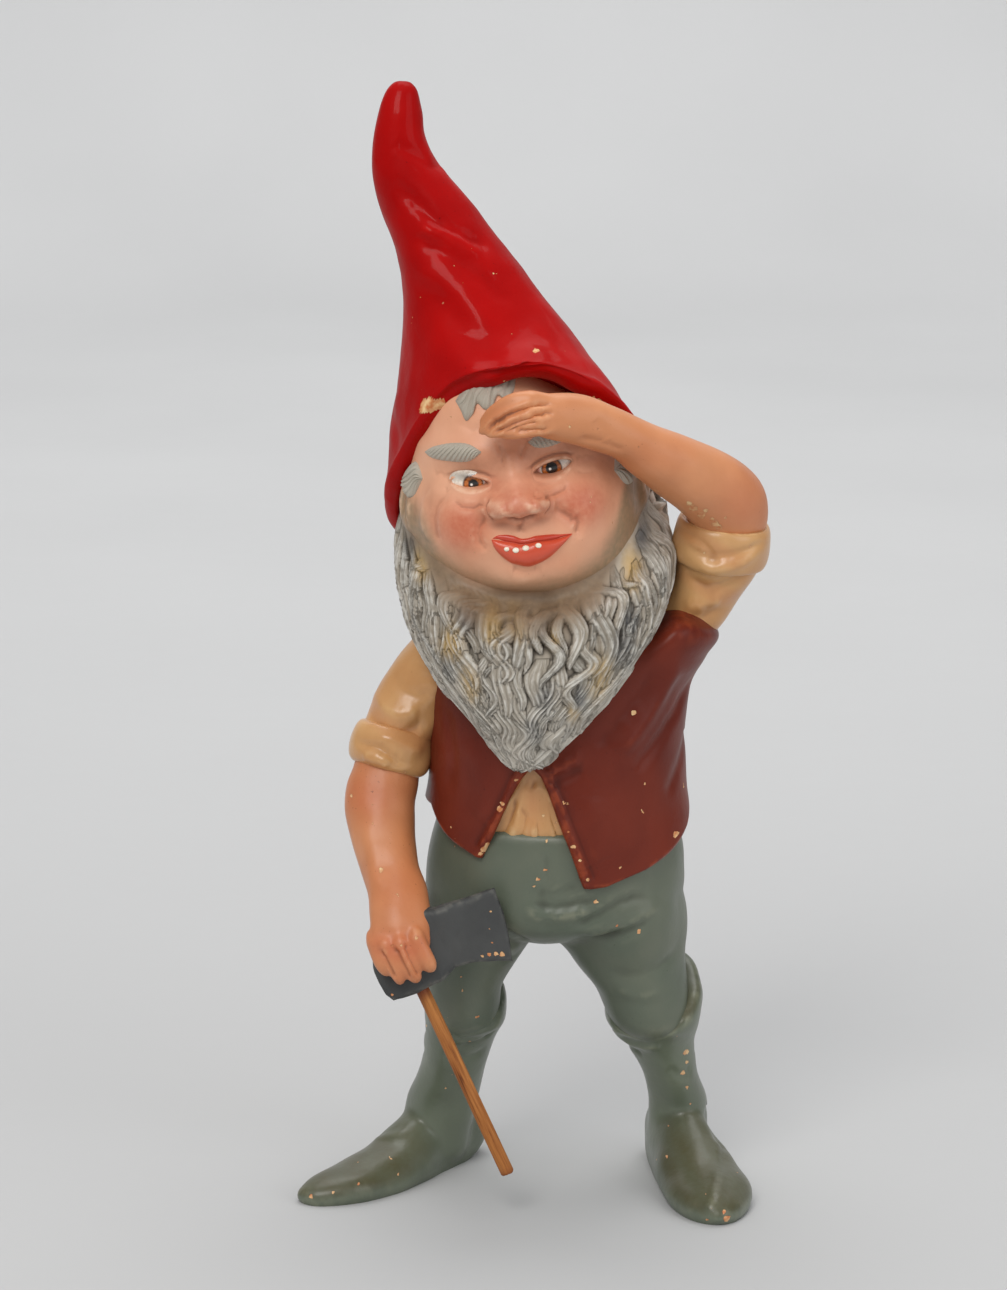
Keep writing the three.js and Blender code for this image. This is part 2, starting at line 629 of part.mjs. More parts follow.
const head = headOuter();
const eyeAt = [-1, 1].map((side) => onFace((side * eyeSpacing) / 2, 5.5, eyeRadius * 0.52));
const eyes = eyeAt.map((at) => lump(at, [eyeRadius, eyeRadius, eyeRadius]));
const sockets = eyeAt.map((at) => lump(at, [eyeRadius, eyeRadius, eyeRadius], { grow: slip }));
const nose = lump(onFace(-0.5, -3.5, -2.5), [noseWidth / 2, 8.5, 6.5], { turn: tiltDegrees });
const neckHoleRadius = 8;
const headRoomRows = inner(headRows);
const [neckX, neckY, neckBottom] = headRoomRows[0];
headRoomRows[0] = [neckX, neckY, neckBottom - 2 * wall, neckHoleRadius - 1, neckHoleRadius - 1];
const headHollow = standing(headRoomRows, { sides: 12 });
const neckHole = standing(
  [
    [headRows[0][0], headRows[0][1], headRows[0][2] - wall, neckHoleRadius, neckHoleRadius],
    [headRows[3][0], headRows[3][1], headRows[3][2], neckHoleRadius, neckHoleRadius],
  ],
  { sides: 12 },
);
const mouthAt = onFace(2.2, -19.5, 0.6);
const lips = (grow = 0) =>
  lump(mouthAt, [mouthWidth / 2, 2.6, 5.2], { turn: tiltDegrees * 0.6, sides: 12, grow });
const mouth = lips();
const mouthRoom = lips(slip);
const headCast = cut(join(head, nose), headHollow, neckHole, ...sockets, mouthRoom);
const headRoom = headOuter(slip);

const teeth = [0, 1, 2, 3].map((i) => {
  const at = from(mouthAt, [-8 + toothPitch * i, -2.1, -0.6 + 0.3 * i]);
  return cut(lump(at, [toothRadius, toothRadius, toothRadius], { sides: 8 }), mouthRoom);
});

const hatCast = cut(hatOuter(), hatHollow, headRoom);
const hatRoom = hatOuter(slip);
const hatInside = hatRoom.add(headRoom);

const trousers = trousersOuter();
const trousersRoom = trousersOuter(slip);
const hipRoomRows = inner(hipRows.slice(1));
hipRoomRows.push(raised(hipRoomRows.pop(), 1));
const hipHollow = standing(hipRoomRows, { sides: 14 });
const thighHollows = [rightThighRows, leftThighRows].map((rows) =>
  standing(
    [...inner(rows), rows.at(-1)].map((row, i, all) =>
      i === all.length - 1 ? [row[0], row[1], row[2] - 2, 5, 5] : row,
    ),
    { sides: 10 },
  ),
);
const vent = solid(
  new THREE.CylinderGeometry(ventRadius, ventRadius, 3 * wall, 12)
    .rotateX(Math.PI / 2)
    .translate(hips[0], 0.3 * hipDepth, hipRows[1][2]),
);
const trousersCast = cut(trousers, hipHollow, ...thighHollows, vent);

const boots = [rightBootSpec, leftBootSpec].map((spec) => {
  const made = boot(...spec);
  return cut(made.outside, made.hollow, trousersRoom);
});

const trunk = trunkOuter();
const trunkRoomRows = inner(trunkRows);
trunkRoomRows[0] = raised(trunkRoomRows[0], -wall);
const trunkHollow = standing(trunkRoomRows, { sides: 14 });
const trunkCast = cut(trunk, trunkHollow, trousersRoom, headRoom);
const trunkRoom = trunkOuter(slip);

// The opening of the waistcoat is a wedge that widens downwards from the breast.
const openingTop = waistHeight + 28;
const openingX = trunkX - 9.8;
const drop = 2.5 * vestLap + 28;
const openingWedge = new THREE.Shape([
  new THREE.Vector2(openingX - vestGap / 2, openingTop),
  new THREE.Vector2(openingX - vestGap / 2 - rightFrontSlope * drop, openingTop - drop),
  new THREE.Vector2(openingX + vestGap / 2 + leftFrontSlope * drop, openingTop - drop),
  new THREE.Vector2(openingX + vestGap / 2, openingTop),
]);
const opening = solid(
  new THREE.ExtrudeGeometry(openingWedge, { depth: far, bevelEnabled: false })
    .rotateX(Math.PI / 2)
    .translate(0, -hipDepth / 4, 0),
);
const vest = standing(vestRows, { sides: 20 });
const vestCast = cut(vest, trunkRoom, trousersRoom, headRoom, opening);

const rightSleeve = limb(rightSleeveRows, sideX);
const leftSleeve = limb(leftSleeveRows, sideX);
const bodyRoom = join(trunkRoom, standing(vestRows, { sides: 20, grow: slip }));
const sleeveCasts = [rightSleeve, leftSleeve].map((sleeve) => cut(sleeve, bodyRoom));
const rightSleeveRoom = limb(rightSleeveRows, sideX, { grow: slip });
const leftSleeveRoom = limb(leftSleeveRows, sideX, { grow: slip });

const axeHead = inAxeFrame(cut(axeBody(), socket));
const axeRoom = inAxeFrame(axeBody(slip));
const handle = inAxeFrame(rod(handleRadius, socketDepth - 0.8 - handleLength, socketDepth - 0.8));

const handRoomRight = rightForearmOuter(slip);
const rightForearm = cut(rightForearmOuter(), rightSleeveRoom, axeRoom, trousersRoom);
const leftForearm = cut(leftForearmOuter(), leftSleeveRoom, hatInside, headRoom);
const leftForearmRoom = leftForearmOuter(slip);
const cuffs = [
  cut(limb(rightCuffRows, sideX, { sides: 14 }), rightSleeveRoom, handRoomRight, bodyRoom),
  cut(limb(leftCuffRows, sideX, { sides: 14 }), leftSleeveRoom, leftForearmRoom),
];

const armRoom = join(rightSleeveRoom, leftSleeveRoom, limb(leftCuffRows, sideX, { sides: 14, grow: slip }));
const front = block([-far, -far, 0], [far, partingY - slip / 2, far]);
const back = block([-far, partingY + slip / 2, 0], [far, far, far]);
const hairCut = cut(hairMass, headRoom, hatInside, bodyRoom, armRoom, leftForearmRoom, mouthRoom);
const beard = cut(hairCut.intersect(front));
const backHair = cut(hairCut.intersect(back));
const hairRoom = standing(hairRows, { sides: 20, grow: slip });

// Brows, forelock and temple tufts are pressed on the skin.
const tuft = (at, radii, turn) =>
  cut(lump(at, radii, { turn }), headRoom, hatInside, leftForearmRoom, hairRoom);
const browTufts = [-1, 1].map((side) =>
  tuft(onFace(side * 15, 15.5, 0.6), [9, 3.2, 3.2], tiltDegrees - side * 4),
);
const forelock = tuft(onFace(-5, 35, -0.5), [12.5, 4.5, 7.5], 14);
const temples = [-1, 1].map((side) => tuft(onFace(side * 36 - 1, 3, 3), [5, 7, 7], 0));

// ---- Materials and the assembly -----------------------------------------------------------------

const paint = (color, roughness) => new THREE.MeshStandardMaterial({ color, roughness, metalness: 0 });
const redPaint = paint(0xb00c08, 0.35);
const fleshPaint = paint(0xd99a72, 0.6);
const greyHair = paint(0x958a78, 0.7);
const creamPaint = paint(0xc89a62, 0.45);
const brownPaint = paint(0x6b2d1c, 0.4);
const trouserPaint = paint(0x6d7363, 0.5);
const bootPaint = paint(0x565a48, 0.45);
const blackPaint = paint(0x3c3d3b, 0.6);
const lipPaint = paint(0xc8472f, 0.45);
const eyeGlaze = paint(0xe8e2d6, 0.15);
const beech = paint(0xa9682c, 0.65);

const casts = {
  hat: [hatCast, redPaint],
  head: [headCast, fleshPaint],
  beard: [beard, greyHair],
  back_hair: [backHair, greyHair],
  forelock: [forelock, greyHair],
  right_temple_hair: [temples[0], greyHair],
  left_temple_hair: [temples[1], greyHair],
  right_eyebrow: [browTufts[0], greyHair],
  left_eyebrow: [browTufts[1], greyHair],
  right_eye: [eyes[0], eyeGlaze],
  left_eye: [eyes[1], eyeGlaze],
  mouth: [cut(mouth), lipPaint],
  torso: [trunkCast, creamPaint],
  waistcoat: [vestCast, brownPaint],
  right_sleeve: [sleeveCasts[0], creamPaint],
  left_sleeve: [sleeveCasts[1], creamPaint],
  right_cuff: [cuffs[0], creamPaint],
  left_cuff: [cuffs[1], creamPaint],
  right_forearm: [rightForearm, fleshPaint],
  left_forearm: [leftForearm, fleshPaint],
  trousers: [trousersCast, trouserPaint],
  right_boot: [boots[0], bootPaint],
  left_boot: [boots[1], bootPaint],
  axe_head: [axeHead, blackPaint],
  axe_handle: [handle, beech],
};
teeth.forEach((tooth, i) => (casts[`tooth_${i + 1}`] = [tooth, eyeGlaze]));

const gnome = new THREE.Group();
gnome.name = "garden_gnome";
for (const [name, [body, material]] of Object.entries(casts)) {
  const mesh = new THREE.Mesh(geometryOf(body), material);
  mesh.name = name;
  gnome.add(mesh);
}

// The origin goes to the bottom middle of the figure's box.
const box = new THREE.Box3().setFromObject(gnome);
const middle = box.getCenter(new THREE.Vector3());
gnome.position.set(-middle.x, -middle.y, -box.min.z);

export default gnome;
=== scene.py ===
import math

import bpy
import numpy as np
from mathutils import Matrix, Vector
from mathutils.bvhtree import BVHTree


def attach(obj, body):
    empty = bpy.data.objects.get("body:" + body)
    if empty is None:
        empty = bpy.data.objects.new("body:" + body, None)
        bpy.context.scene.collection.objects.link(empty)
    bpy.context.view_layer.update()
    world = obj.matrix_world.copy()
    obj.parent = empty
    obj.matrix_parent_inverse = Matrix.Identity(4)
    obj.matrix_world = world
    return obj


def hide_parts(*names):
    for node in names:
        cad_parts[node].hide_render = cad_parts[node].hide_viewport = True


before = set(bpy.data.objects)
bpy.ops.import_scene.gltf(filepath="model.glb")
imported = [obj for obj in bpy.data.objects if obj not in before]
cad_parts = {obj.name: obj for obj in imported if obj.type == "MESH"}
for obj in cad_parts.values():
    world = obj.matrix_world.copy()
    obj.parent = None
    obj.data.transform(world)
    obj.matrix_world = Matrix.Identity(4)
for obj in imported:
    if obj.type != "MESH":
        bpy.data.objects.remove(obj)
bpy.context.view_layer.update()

# ---- Trousers ----------------------------------------------------------------------------------------------
# The hips and both thighs come out of one mould in fired clay, and go down into the boots. They are painted
# a satin grey-green, with soft folds pressed across the crotch and the lap. All sizes are in millimetres
# from the figure's axis, which is where the casts were laid out from.

axis_foot = np.array([-0.12, 10.29, 0.0])  # the axis in the frame
mm = 0.001


def curved(rows, steps):
    """Rows of numbers on a smooth curve through the given rows; numbers left out are 0."""
    length = max(len(row) for row in rows)
    knots = np.array([list(row) + [0.0] * (length - len(row)) for row in rows], float)
    knots = np.vstack([knots[:1], knots, knots[-1:]])
    t = np.arange(steps)[:, None] / steps
    parts = [
        a + 0.5 * (b - p) * t + (p - 2.5 * a + 2 * b - 0.5 * n) * t**2 + 0.5 * (3 * a - p - 3 * b + n) * t**3
        for p, a, b, n in zip(knots[:-3], knots[1:-2], knots[2:-1], knots[3:])
    ]
    return np.vstack(parts + [knots[-1:]])


def standing(rows, sides=48, steps=8, angles=None):
    """Level rings: each row is x, y, z, half width, half depth, front rise, bow, side rise."""
    filled = curved(rows, steps)
    table = np.pad(filled, ((0, 0), (0, 8 - filled.shape[1])))
    angle = np.arange(sides) / sides * 2 * math.pi if angles is None else angles
    c, s = np.cos(angle), np.sin(angle)
    x, y, z, wide, deep, front, bow, side = (table[:, k, None] for k in range(8))
    return np.stack([x + wide * c, y + deep * s, z - front * s + bow * s * s + side * c], -1)


def limb(rows, across, sides=40, steps=8):
    """Rings square to a line: each row is x, y, z, half width, half depth; the width lies along across."""
    filled = curved(rows, steps)
    at = filled[:, :3]
    along = np.gradient(at, axis=0)
    along /= np.linalg.norm(along, axis=1)[:, None]
    side = np.array(across, float) - along * (along @ np.array(across, float))[:, None]
    side /= np.linalg.norm(side, axis=1)[:, None]
    up = np.cross(along, side)
    angle = np.arange(sides) / sides * 2 * math.pi
    wide, deep = filled[:, 3, None, None], filled[:, 4, None, None]
    turn = wide * side[:, None] * np.cos(angle)[:, None] + deep * up[:, None] * np.sin(angle)[:, None]
    return at[:, None] + turn


def mesh_object(name, points, faces):
    """An object of points in millimetres, turned so that its faces point outwards."""
    p = np.asarray(points, float)
    volume = 0.0
    for face in (np.array([f for f in faces if len(f) == k]) for k in (3, 4)):
        for k in range(1, (face.shape[1] if len(face) else 0) - 1):
            volume += np.einsum("ij,ij->", p[face[:, 0]], np.cross(p[face[:, k]], p[face[:, k + 1]]))
    if volume < 0:
        faces = [tuple(f)[::-1] for f in faces]
    mesh = bpy.data.meshes.new(name)
    mesh.from_pydata(((p + axis_foot) * mm).tolist(), [], faces)
    mesh.update()
    made = bpy.data.objects.new(name, mesh)
    bpy.context.scene.collection.objects.link(made)
    return made


def ring_faces(rows, sides, wrap=True):
    r, s = np.meshgrid(np.arange(rows - 1), np.arange(sides if wrap else sides - 1), indexing="ij")
    n = (s + 1) % sides
    return np.stack([r * sides + s, r * sides + n, (r + 1) * sides + n, (r + 1) * sides + s], -1).reshape(-1, 4)


def closed_skin(name, rings):
    """A skin over rings, with a fan of faces that closes each end."""
    rows, sides = rings.shape[:2]
    points = np.vstack([rings.reshape(-1, 3), rings[0].mean(0), rings[-1].mean(0)])
    first, last, end = rows * sides, rows * sides + 1, (rows - 1) * sides
    faces = [tuple(f) for f in ring_faces(rows, sides).tolist()]
    for s in range(sides):
        n = (s + 1) % sides
        faces += [(first, n, s), (last, end + s, end + n)]
    return mesh_object(name, points, faces)


def select_only(*objects):
    bpy.ops.object.select_all(action="DESELECT")
    for each in objects:
        each.select_set(True)
    bpy.context.view_layer.objects.active = objects[0]


def luted(name, skins, grain):
    """Overlapping skins made one surface, as slip closes the joins between casts."""
    parts = [closed_skin(name, rings) for rings in skins]
    select_only(*parts)
    if len(parts) > 1:
        bpy.ops.object.join()
    joined = bpy.context.object
    joined.name = name
    remesh = joined.modifiers.new("slip", "REMESH")
    remesh.mode = "VOXEL"
    remesh.voxel_size = grain * mm
    bpy.ops.object.modifier_apply(modifier=remesh.name)
    return joined


def smooth_step(x, low, high):
    t = np.clip((x - low) / (high - low), 0, 1)
    return t * t * (3 - 2 * t)


class Cast:
    """A cast's surface while it is worked by hand: points in millimetres from the figure's axis."""

    def __init__(self, made):
        self.made = made
        mesh = made.data
        self.points = np.empty(len(mesh.vertices) * 3)
        mesh.vertices.foreach_get("co", self.points)
        self.points = self.points.reshape(-1, 3) / mm - axis_foot
        self.edges = np.empty(len(mesh.edges) * 2, int)
        mesh.edges.foreach_get("vertices", self.edges)
        self.edges = self.edges.reshape(-1, 2)
        self.count = np.bincount(self.edges.ravel(), minlength=len(self.points))[:, None]
        self.renew()

    def renew(self):
        """Puts the points back on the mesh, and takes new normals."""
        mesh = self.made.data
        mesh.vertices.foreach_set("co", ((self.points + axis_foot) * mm).ravel())
        mesh.update()
        normals = np.empty(len(self.points) * 3)
        mesh.vertex_normals.foreach_get("vector", normals)
        self.normals = normals.reshape(-1, 3)

    def around(self, values):
        """The mean of each point's neighbours."""
        a, b = self.edges.T
        sums = [
            np.bincount(a, values[b, k], len(values)) + np.bincount(b, values[a, k], len(values))
            for k in range(values.shape[1])
        ]
        return np.stack(sums, 1) / self.count

    def relax(self, passes, share=0.6):
        for _ in range(passes):
            self.points += share * (self.around(self.points) - self.points)
        self.renew()

    def seen_from(self, azimuth):
        """Across, up and towards a viewer who stands at the azimuth: 0 is in front, 90 at its left."""
        a = math.radians(azimuth)
        x, y, z = self.points.T
        return x * math.cos(a) + y * math.sin(a), z, x * math.sin(a) - y * math.cos(a)

    def find(self, path, azimuth=0):
        """The places on the skin under a line drawn by a viewer at the azimuth."""
        across, up, near = self.seen_from(azimuth)
        places = []
        for a, z in curved([list(p) for p in path], 6) if len(path) > 1 else path:
            gap = (across - a) ** 2 + (up - z) ** 2
            close = np.flatnonzero(gap < 2.0)
            places.append(close[np.argmax(near[close])] if len(close) else int(np.argmin(gap)))
        return self.points[places]

    def along(self, path, azimuth, reach):
        """Each point's distance from a line on the skin, and how far along the line it is, from 0 to 1."""
        line = self.find(path, azimuth)
        inside = np.all((self.points > line.min(0) - reach) & (self.points < line.max(0) + reach), axis=1)
        distance = np.full(len(self.points), 1e3)
        share = np.zeros(len(self.points))
        p = self.points[inside]
        best, where = np.full(len(p), 1e3), np.zeros(len(p))
        for k, (a, b) in enumerate(zip(line[:-1], line[1:])):
            leg = b - a
            t = np.clip(((p - a) @ leg) / max(leg @ leg, 1e-6), 0, 1)
            d = np.linalg.norm(p - a - t[:, None] * leg, axis=1)
            nearer = d < best
            best[nearer], where[nearer] = d[nearer], (k + t[nearer]) / (len(line) - 1)
        distance[inside], share[inside] = best, where
        return distance, share

    def fold(self, path, width, height, azimuth=0, ends=0.25):
        """A ridge along a line, or a crease where the height is negative, that dies out at its ends."""
        distance, share = self.along(path, azimuth, 3.5 * width)
        fade = smooth_step(share, 0, ends) * smooth_step(1 - share, 0, ends) if ends else 1
        self.points += self.normals * (height * fade * np.exp(-((distance / width) ** 2)))[:, None]
        self.renew()

    def folds(self, rows, azimuth=0, ends=0.25):
        """One fold for each row of a line, a width and a height."""
        for line, width, height in rows:
            self.fold(line, width, height, azimuth, ends)

    def spot(self, centre, size, azimuth=0, tilt=0.0, power=1.0):
        """How much each point belongs to a round spot, from 0 to 1."""
        across, up, near = self.seen_from(azimuth)
        t = math.radians(tilt)
        a, b = across - centre[0], up - centre[1]
        a, b = a * math.cos(t) + b * math.sin(t), b * math.cos(t) - a * math.sin(t)
        share = np.exp(-(((a / size[0]) ** 2 + (b / size[1]) ** 2) ** power))
        front = near[(a**2 + b**2) < 9]
        return share * (near > (front.max() if len(front) else near.max()) - 22)

    def dabs(self, rows):
        """Round spots added up, each a strength, a centre, a size and, where it is turned, how."""
        return sum(strength * self.spot(centre, size, *turned) for strength, centre, size, *turned in rows)

    def press(self, centre, size, amount, azimuth=0, tilt=0.0, power=1.0, forward=0.0):
        """Clay pushed out of the skin round a spot, or in where the amount is negative."""
        a = math.radians(azimuth)
        viewer = np.array([math.sin(a), -math.cos(a), 0.0])
        way = self.normals * (1 - forward) + viewer * forward
        self.points += way * (amount * self.spot(centre, size, azimuth, tilt, power))[:, None]
        self.renew()

    def uneven(self, size, amount, seed):
        """The slow unevenness of a hand-finished surface."""
        rng = np.random.default_rng(seed)
        wave = np.zeros(len(self.points))
        for _ in range(9):
            way = rng.normal(size=3)
            way *= 2 * math.pi / (size * rng.uniform(0.7, 1.6)) / np.linalg.norm(way)
            wave += np.sin(self.points @ way + rng.uniform(0, 6.28))
        self.points += self.normals * (amount * wave / 3)[:, None]
        self.renew()

    def mark(self, name, values):
        """A named value on each point, for the paint."""
        layer = self.made.data.attributes.new(name, "FLOAT", "POINT")
        layer.data.foreach_set("value", np.clip(values, 0, 1).astype(float))

    def hollows(self, passes=10, gain=0.9):
        """Marks how deep each point lies under its surroundings: 0.5 is level, 1 a deep crease."""
        calm = self.points.copy()
        for _ in range(passes):
            calm += 0.6 * (self.around(calm) - calm)
        self.mark("hollow", 0.5 + gain * np.einsum("ij,ij->i", calm - self.points, self.normals))

    def chips(self, spots):
        """Marks the places where the paint has come off, each across, up and radius."""
        rng = np.random.default_rng(len(spots) + 7)
        across, up, near = self.seen_from(0)
        mark = np.zeros(len(self.points))
        for a, z, radius in spots:
            angle = np.arctan2(up - z, across - a)
            ragged = 1 + 0.14 * np.sin(3 * angle + rng.uniform(0, 6))
            ragged = ragged + 0.07 * np.sin(7 * angle + rng.uniform(0, 6))
            distance = np.hypot(across - a, up - z) / ragged
            close = distance < radius + 1
            if close.any():
                facing = near > near[close].max() - 5
                mark = np.maximum(mark, smooth_step(radius + 0.35 - distance, 0, 0.7) * facing)
        self.mark("chip", mark)

    def finish(self, material, slot, node):
        self.renew()
        made = self.made
        for name in ("hollow", "chip"):
            if name not in made.data.attributes:
                self.hollows() if name == "hollow" else self.mark("chip", np.zeros(len(self.points)))
        made.data.materials.clear()
        made.data.materials.append(material)
        select_only(made)
        bpy.ops.object.shade_smooth()
        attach(made, "figure")
        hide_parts(node)


def shade_of(red, green, blue):
    """A colour read off a colour card, as the paint's own reflectance."""
    return (*[((c / 255 + 0.055) / 1.055) ** 2.4 if c > 10 else c / 255 / 12.92 for c in (red, green, blue)], 1)


class Recipe:
    """A material while its nodes are laid out."""

    def __init__(self, name, **own):
        self.material = bpy.data.materials.new(name)
        self.material.use_nodes = True
        self.tree = self.material.node_tree
        self.shader = self.tree.nodes["Principled BSDF"]
        for socket, value in own.items():
            self.shader.inputs[socket.replace("_", " ")].default_value = value
        self.place = self.add("TexCoord").outputs["Object"]

    def add(self, kind, inputs=None, **settings):
        made = self.tree.nodes.new("ShaderNode" + kind)
        for key, value in settings.items():
            setattr(made, key, value)
        for key, value in (inputs or {}).items():
            self.set(made.inputs[key], value)
        return made

    def set(self, socket, value):
        if isinstance(value, bpy.types.NodeSocket):
            self.tree.links.new(value, socket)
        else:
            socket.default_value = value

    def grain(self, scale, detail=3.0, stretch=None):
        """Noise at so many waves to the metre, stretched along the axes where stretch is given."""
        place = self.place
        if stretch:
            place = self.add("Mapping", {"Vector": place, "Scale": stretch}).outputs[0]
        inputs = {"Vector": place, "Scale": scale, "Detail": detail, "Roughness": 0.5}
        return self.add("TexNoise", inputs).outputs["Fac"]

    def value(self, name):
        return self.add("Attribute", attribute_name=name).outputs["Fac"]

    def span(self, value, low, high, out_low=0.0, out_high=1.0):
        inputs = {"Value": value, "From Min": low, "From Max": high, "To Min": out_low, "To Max": out_high}
        return self.add("MapRange", inputs).outputs[0]

    def combine(self, kind, a, b):
        return self.add("Math", {0: a, 1: b}, operation=kind).outputs[0]

    def mix(self, share, a, b):
        return self.add("Mix", {0: share, 6: a, 7: b}, data_type="RGBA").outputs[2]

    def bump(self, height, depth, below=None):
        inputs = {"Height": height, "Distance": depth, "Strength": 1.0}
        if below:
            inputs["Normal"] = below
        return self.add("Bump", inputs).outputs[0]

    def done(self, colour, roughness, normal):
        self.set(self.shader.inputs["Base Color"], colour)
        self.set(self.shader.inputs["Roughness"], roughness)
        self.set(self.shader.inputs["Normal"], normal)
        return self.material


bare_clay = shade_of(226, 190, 140)
red_clay = shade_of(196, 120, 74)


def painted_clay(name, *card, rough, tints=(), specks=0.35, streaks=0.5, **own):
    """Oil paint on fired clay: a thin uneven coat with painted shade in the hollows, worn ridges, and chips.

    The card has the paint, its second shade, the grime, also laid in the hollows as painted shade, and the worn
    ridges.
    """
    r = Recipe(name, **own)
    colour, second, grime_and_shade, worn = (shade_of(*shade) for shade in card)
    hollow = r.value("hollow")
    broad = r.grain(32, 3)
    brush = r.grain(60, 5, stretch=(1.0, 1.0, 0.35))
    fine = r.grain(520, 3)
    paint = r.mix(r.span(broad, 0.36, 0.64), colour, second)
    paint = r.mix(r.span(brush, 0.3, 0.75, 0.0, 0.22 * streaks), paint, grime_and_shade)
    for mark, tint, strength in tints:
        edge = r.combine("MULTIPLY", r.value(mark), r.span(fine, 0.25, 0.7, 0.75 * strength, strength))
        paint = r.mix(edge, paint, shade_of(*tint))
    # Painted shade: the hollows and creases are darkened towards the grime colour.
    paint = r.mix(r.span(hollow, 0.56, 0.9, 0.0, 0.7), paint, grime_and_shade)
    wear = r.combine("MULTIPLY", r.span(hollow, 0.42, 0.16), r.span(r.grain(240, 4), 0.42, 0.62))
    paint = r.mix(r.combine("MULTIPLY", wear, 0.55), paint, worn)
    pits = r.span(r.grain(900, 2), 0.7, 0.76, 0.0, specks)
    pits = r.combine("MULTIPLY", pits, r.span(broad, 0.4, 0.6))
    paint = r.mix(pits, paint, grime_and_shade)
    flecks = r.combine("MULTIPLY", r.span(r.grain(330, 2), 0.735, 0.75), r.span(r.grain(45, 2), 0.55, 0.6))
    bare = r.combine("MAXIMUM", r.span(r.value("chip"), 0.45, 0.55), flecks)
    paint = r.mix(bare, paint, r.mix(r.span(r.grain(400, 3), 0.35, 0.65), bare_clay, red_clay))
    matt = r.combine("ADD", r.span(brush, 0.2, 0.8, rough - 0.07, rough + 0.09), r.combine("MULTIPLY", bare, 0.35))
    matt = r.combine("ADD", matt, r.span(hollow, 0.55, 0.9, 0.0, 0.2))
    skin = r.bump(r.grain(170, 4), 0.00022)
    skin = r.bump(fine, 0.00006, skin)
    skin = r.bump(r.combine("MULTIPLY", bare, -1.0), 0.00025, skin)
    return r.done(paint, matt, skin)


# Rows of level rings from here on: x, y, z, half width, half depth, then front rise, bow and side rise
hip_rows = [
    (2.6, -1, 94.4, 5, 12),
    (3.4, -1, 96, 13, 21),
    (5, -1, 99.4, 27, 31),
    (6, -1, 104.4, 42, 38),
    (6.5, -1, 112, 46.6, 40.2),
    (6.6, -1.2, 121, 46.6, 40),
    (7, -1.8, 129, 45.6, 39),
    (7, -2.2, 136, 43.6, 38),
    (7, -2.2, 139.4, 42.4, 37),
    (7, -2.2, 140.6, 40.6, 35.4),
]
right_thigh = [
    (-14, -1, 116, 25, 33),
    (-17.4, -1, 106, 25, 31),
    (-20.6, -1, 97, 21.6, 28),
    (-23.4, -1, 89.5, 19.4, 25),
    (-25.4, -1.4, 83, 17, 22.4),
    (-26.6, -2, 76.5, 14.4, 20.6),
    (-26.4, -2.6, 70, 13.4, 19.6),
    (-26, -3, 63, 11.8, 17.4),
    (-25.6, -2.4, 57, 8, 10),
]
left_thigh = [
    (25, -1, 116, 26, 34),
    (27.8, -1.2, 106, 26, 32.4),
    (29.2, -1.3, 97, 25.2, 29.6),
    (31.8, -1.5, 89.6, 22, 26.4),
    (35, -2, 81.4, 19.4, 23.8),
    (38, -2.8, 74.7, 16.9, 22.4),
    (39.6, -3.4, 68, 15.4, 21.4),
    (40.6, -3.8, 62, 13.2, 19),
    (41, -3.2, 56, 9, 11),
]
legs = Cast(luted("trousers_cast", [standing(rows) for rows in (hip_rows, right_thigh, left_thigh)], grain=0.85))
legs.relax(14)
legs.folds([
    ([(-6, 121.5), (2.5, 119.3), (11, 121), (17, 124)], 1.8, -0.9),
    ([(-6, 118), (2.6, 115.4), (14.8, 115.7), (26, 119.5)], 2.0, -1.3),
    ([(-8, 113), (4, 110.5), (13, 111), (20, 113)], 2.6, 1.0),
    ([(13, 104.5), (21.9, 109.6), (31, 114.5), (42, 117)], 2.0, -1.4),
    ([(16, 101), (26, 104), (36, 107), (46, 112)], 3.0, 1.2),
    ([(18, 98.5), (28, 101), (36, 103.6), (44, 108)], 2.0, -1.1),
    ([(-2, 96), (-9, 101), (-18, 108), (-26, 112)], 2.2, -1.4),
    ([(-4, 92), (-12, 96), (-22, 101), (-33, 104)], 2.6, 1.0),
    ([(-6, 88), (-14, 91), (-24, 94)], 2.0, -0.9),
    ([(3, 139), (2, 128), (2.5, 116), (3, 98)], 2.0, -0.7),
    ([(24, 86), (33, 84), (44, 87), (53, 94)], 2.6, -0.8),
    ([(26, 79), (36, 76.5), (47, 80)], 2.2, 0.7),
])
legs.folds([
    ([(-22, 112), (-8, 105), (2, 100)], 2.6, -1.3),
    ([(-42, 112), (-30, 104), (-18, 99), (-8, 96)], 2.6, -1.3),
    ([(-7, 132), (-6, 118), (-6, 98)], 2.2, -1.5),
    ([(-30, 90), (-38, 87), (-48, 92)], 2.6, -1.0),
    ([(14, 92), (22, 88), (32, 91)], 2.6, -1.0),
], azimuth=180)
for centre in [(-29, 118), (17, 117)]:
    legs.press(centre, (17, 14), 3.2, azimuth=180)
legs.uneven(22, 0.3, 3)
legs.relax(2)
legs.hollows(24, 0.5)
legs.chips([
    (20.5, 116, 0.8), (36, 103, 0.8), (28, 106.4, 0.5), (30, 100.6, 0.4), (0, 124.6, 0.7),
    (2.6, 128, 0.6), (4.4, 124, 0.5), (-1.4, 122, 0.5), (3, 138.2, 0.5), (-27, 84, 0.5),
    (-26.5, 79, 0.5),
])
trouser_green = painted_clay(
    "trouser_green", (101, 106, 90), (88, 97, 82), (46, 46, 34), (136, 136, 114),
    rough=0.44, specks=0.3, Coat_Weight=0.15, Coat_Roughness=0.3,
)
legs.finish(trouser_green, "trouser_green", "trousers")

# ---- Boots -------------------------------------------------------------------------------------------------
# Soft boots with a loose top round each knee and a long pointed toe, cast hollow with the leg and stood on a
# flat sole. They have the trousers' green, browned with the brush over the instep and towards the toe.

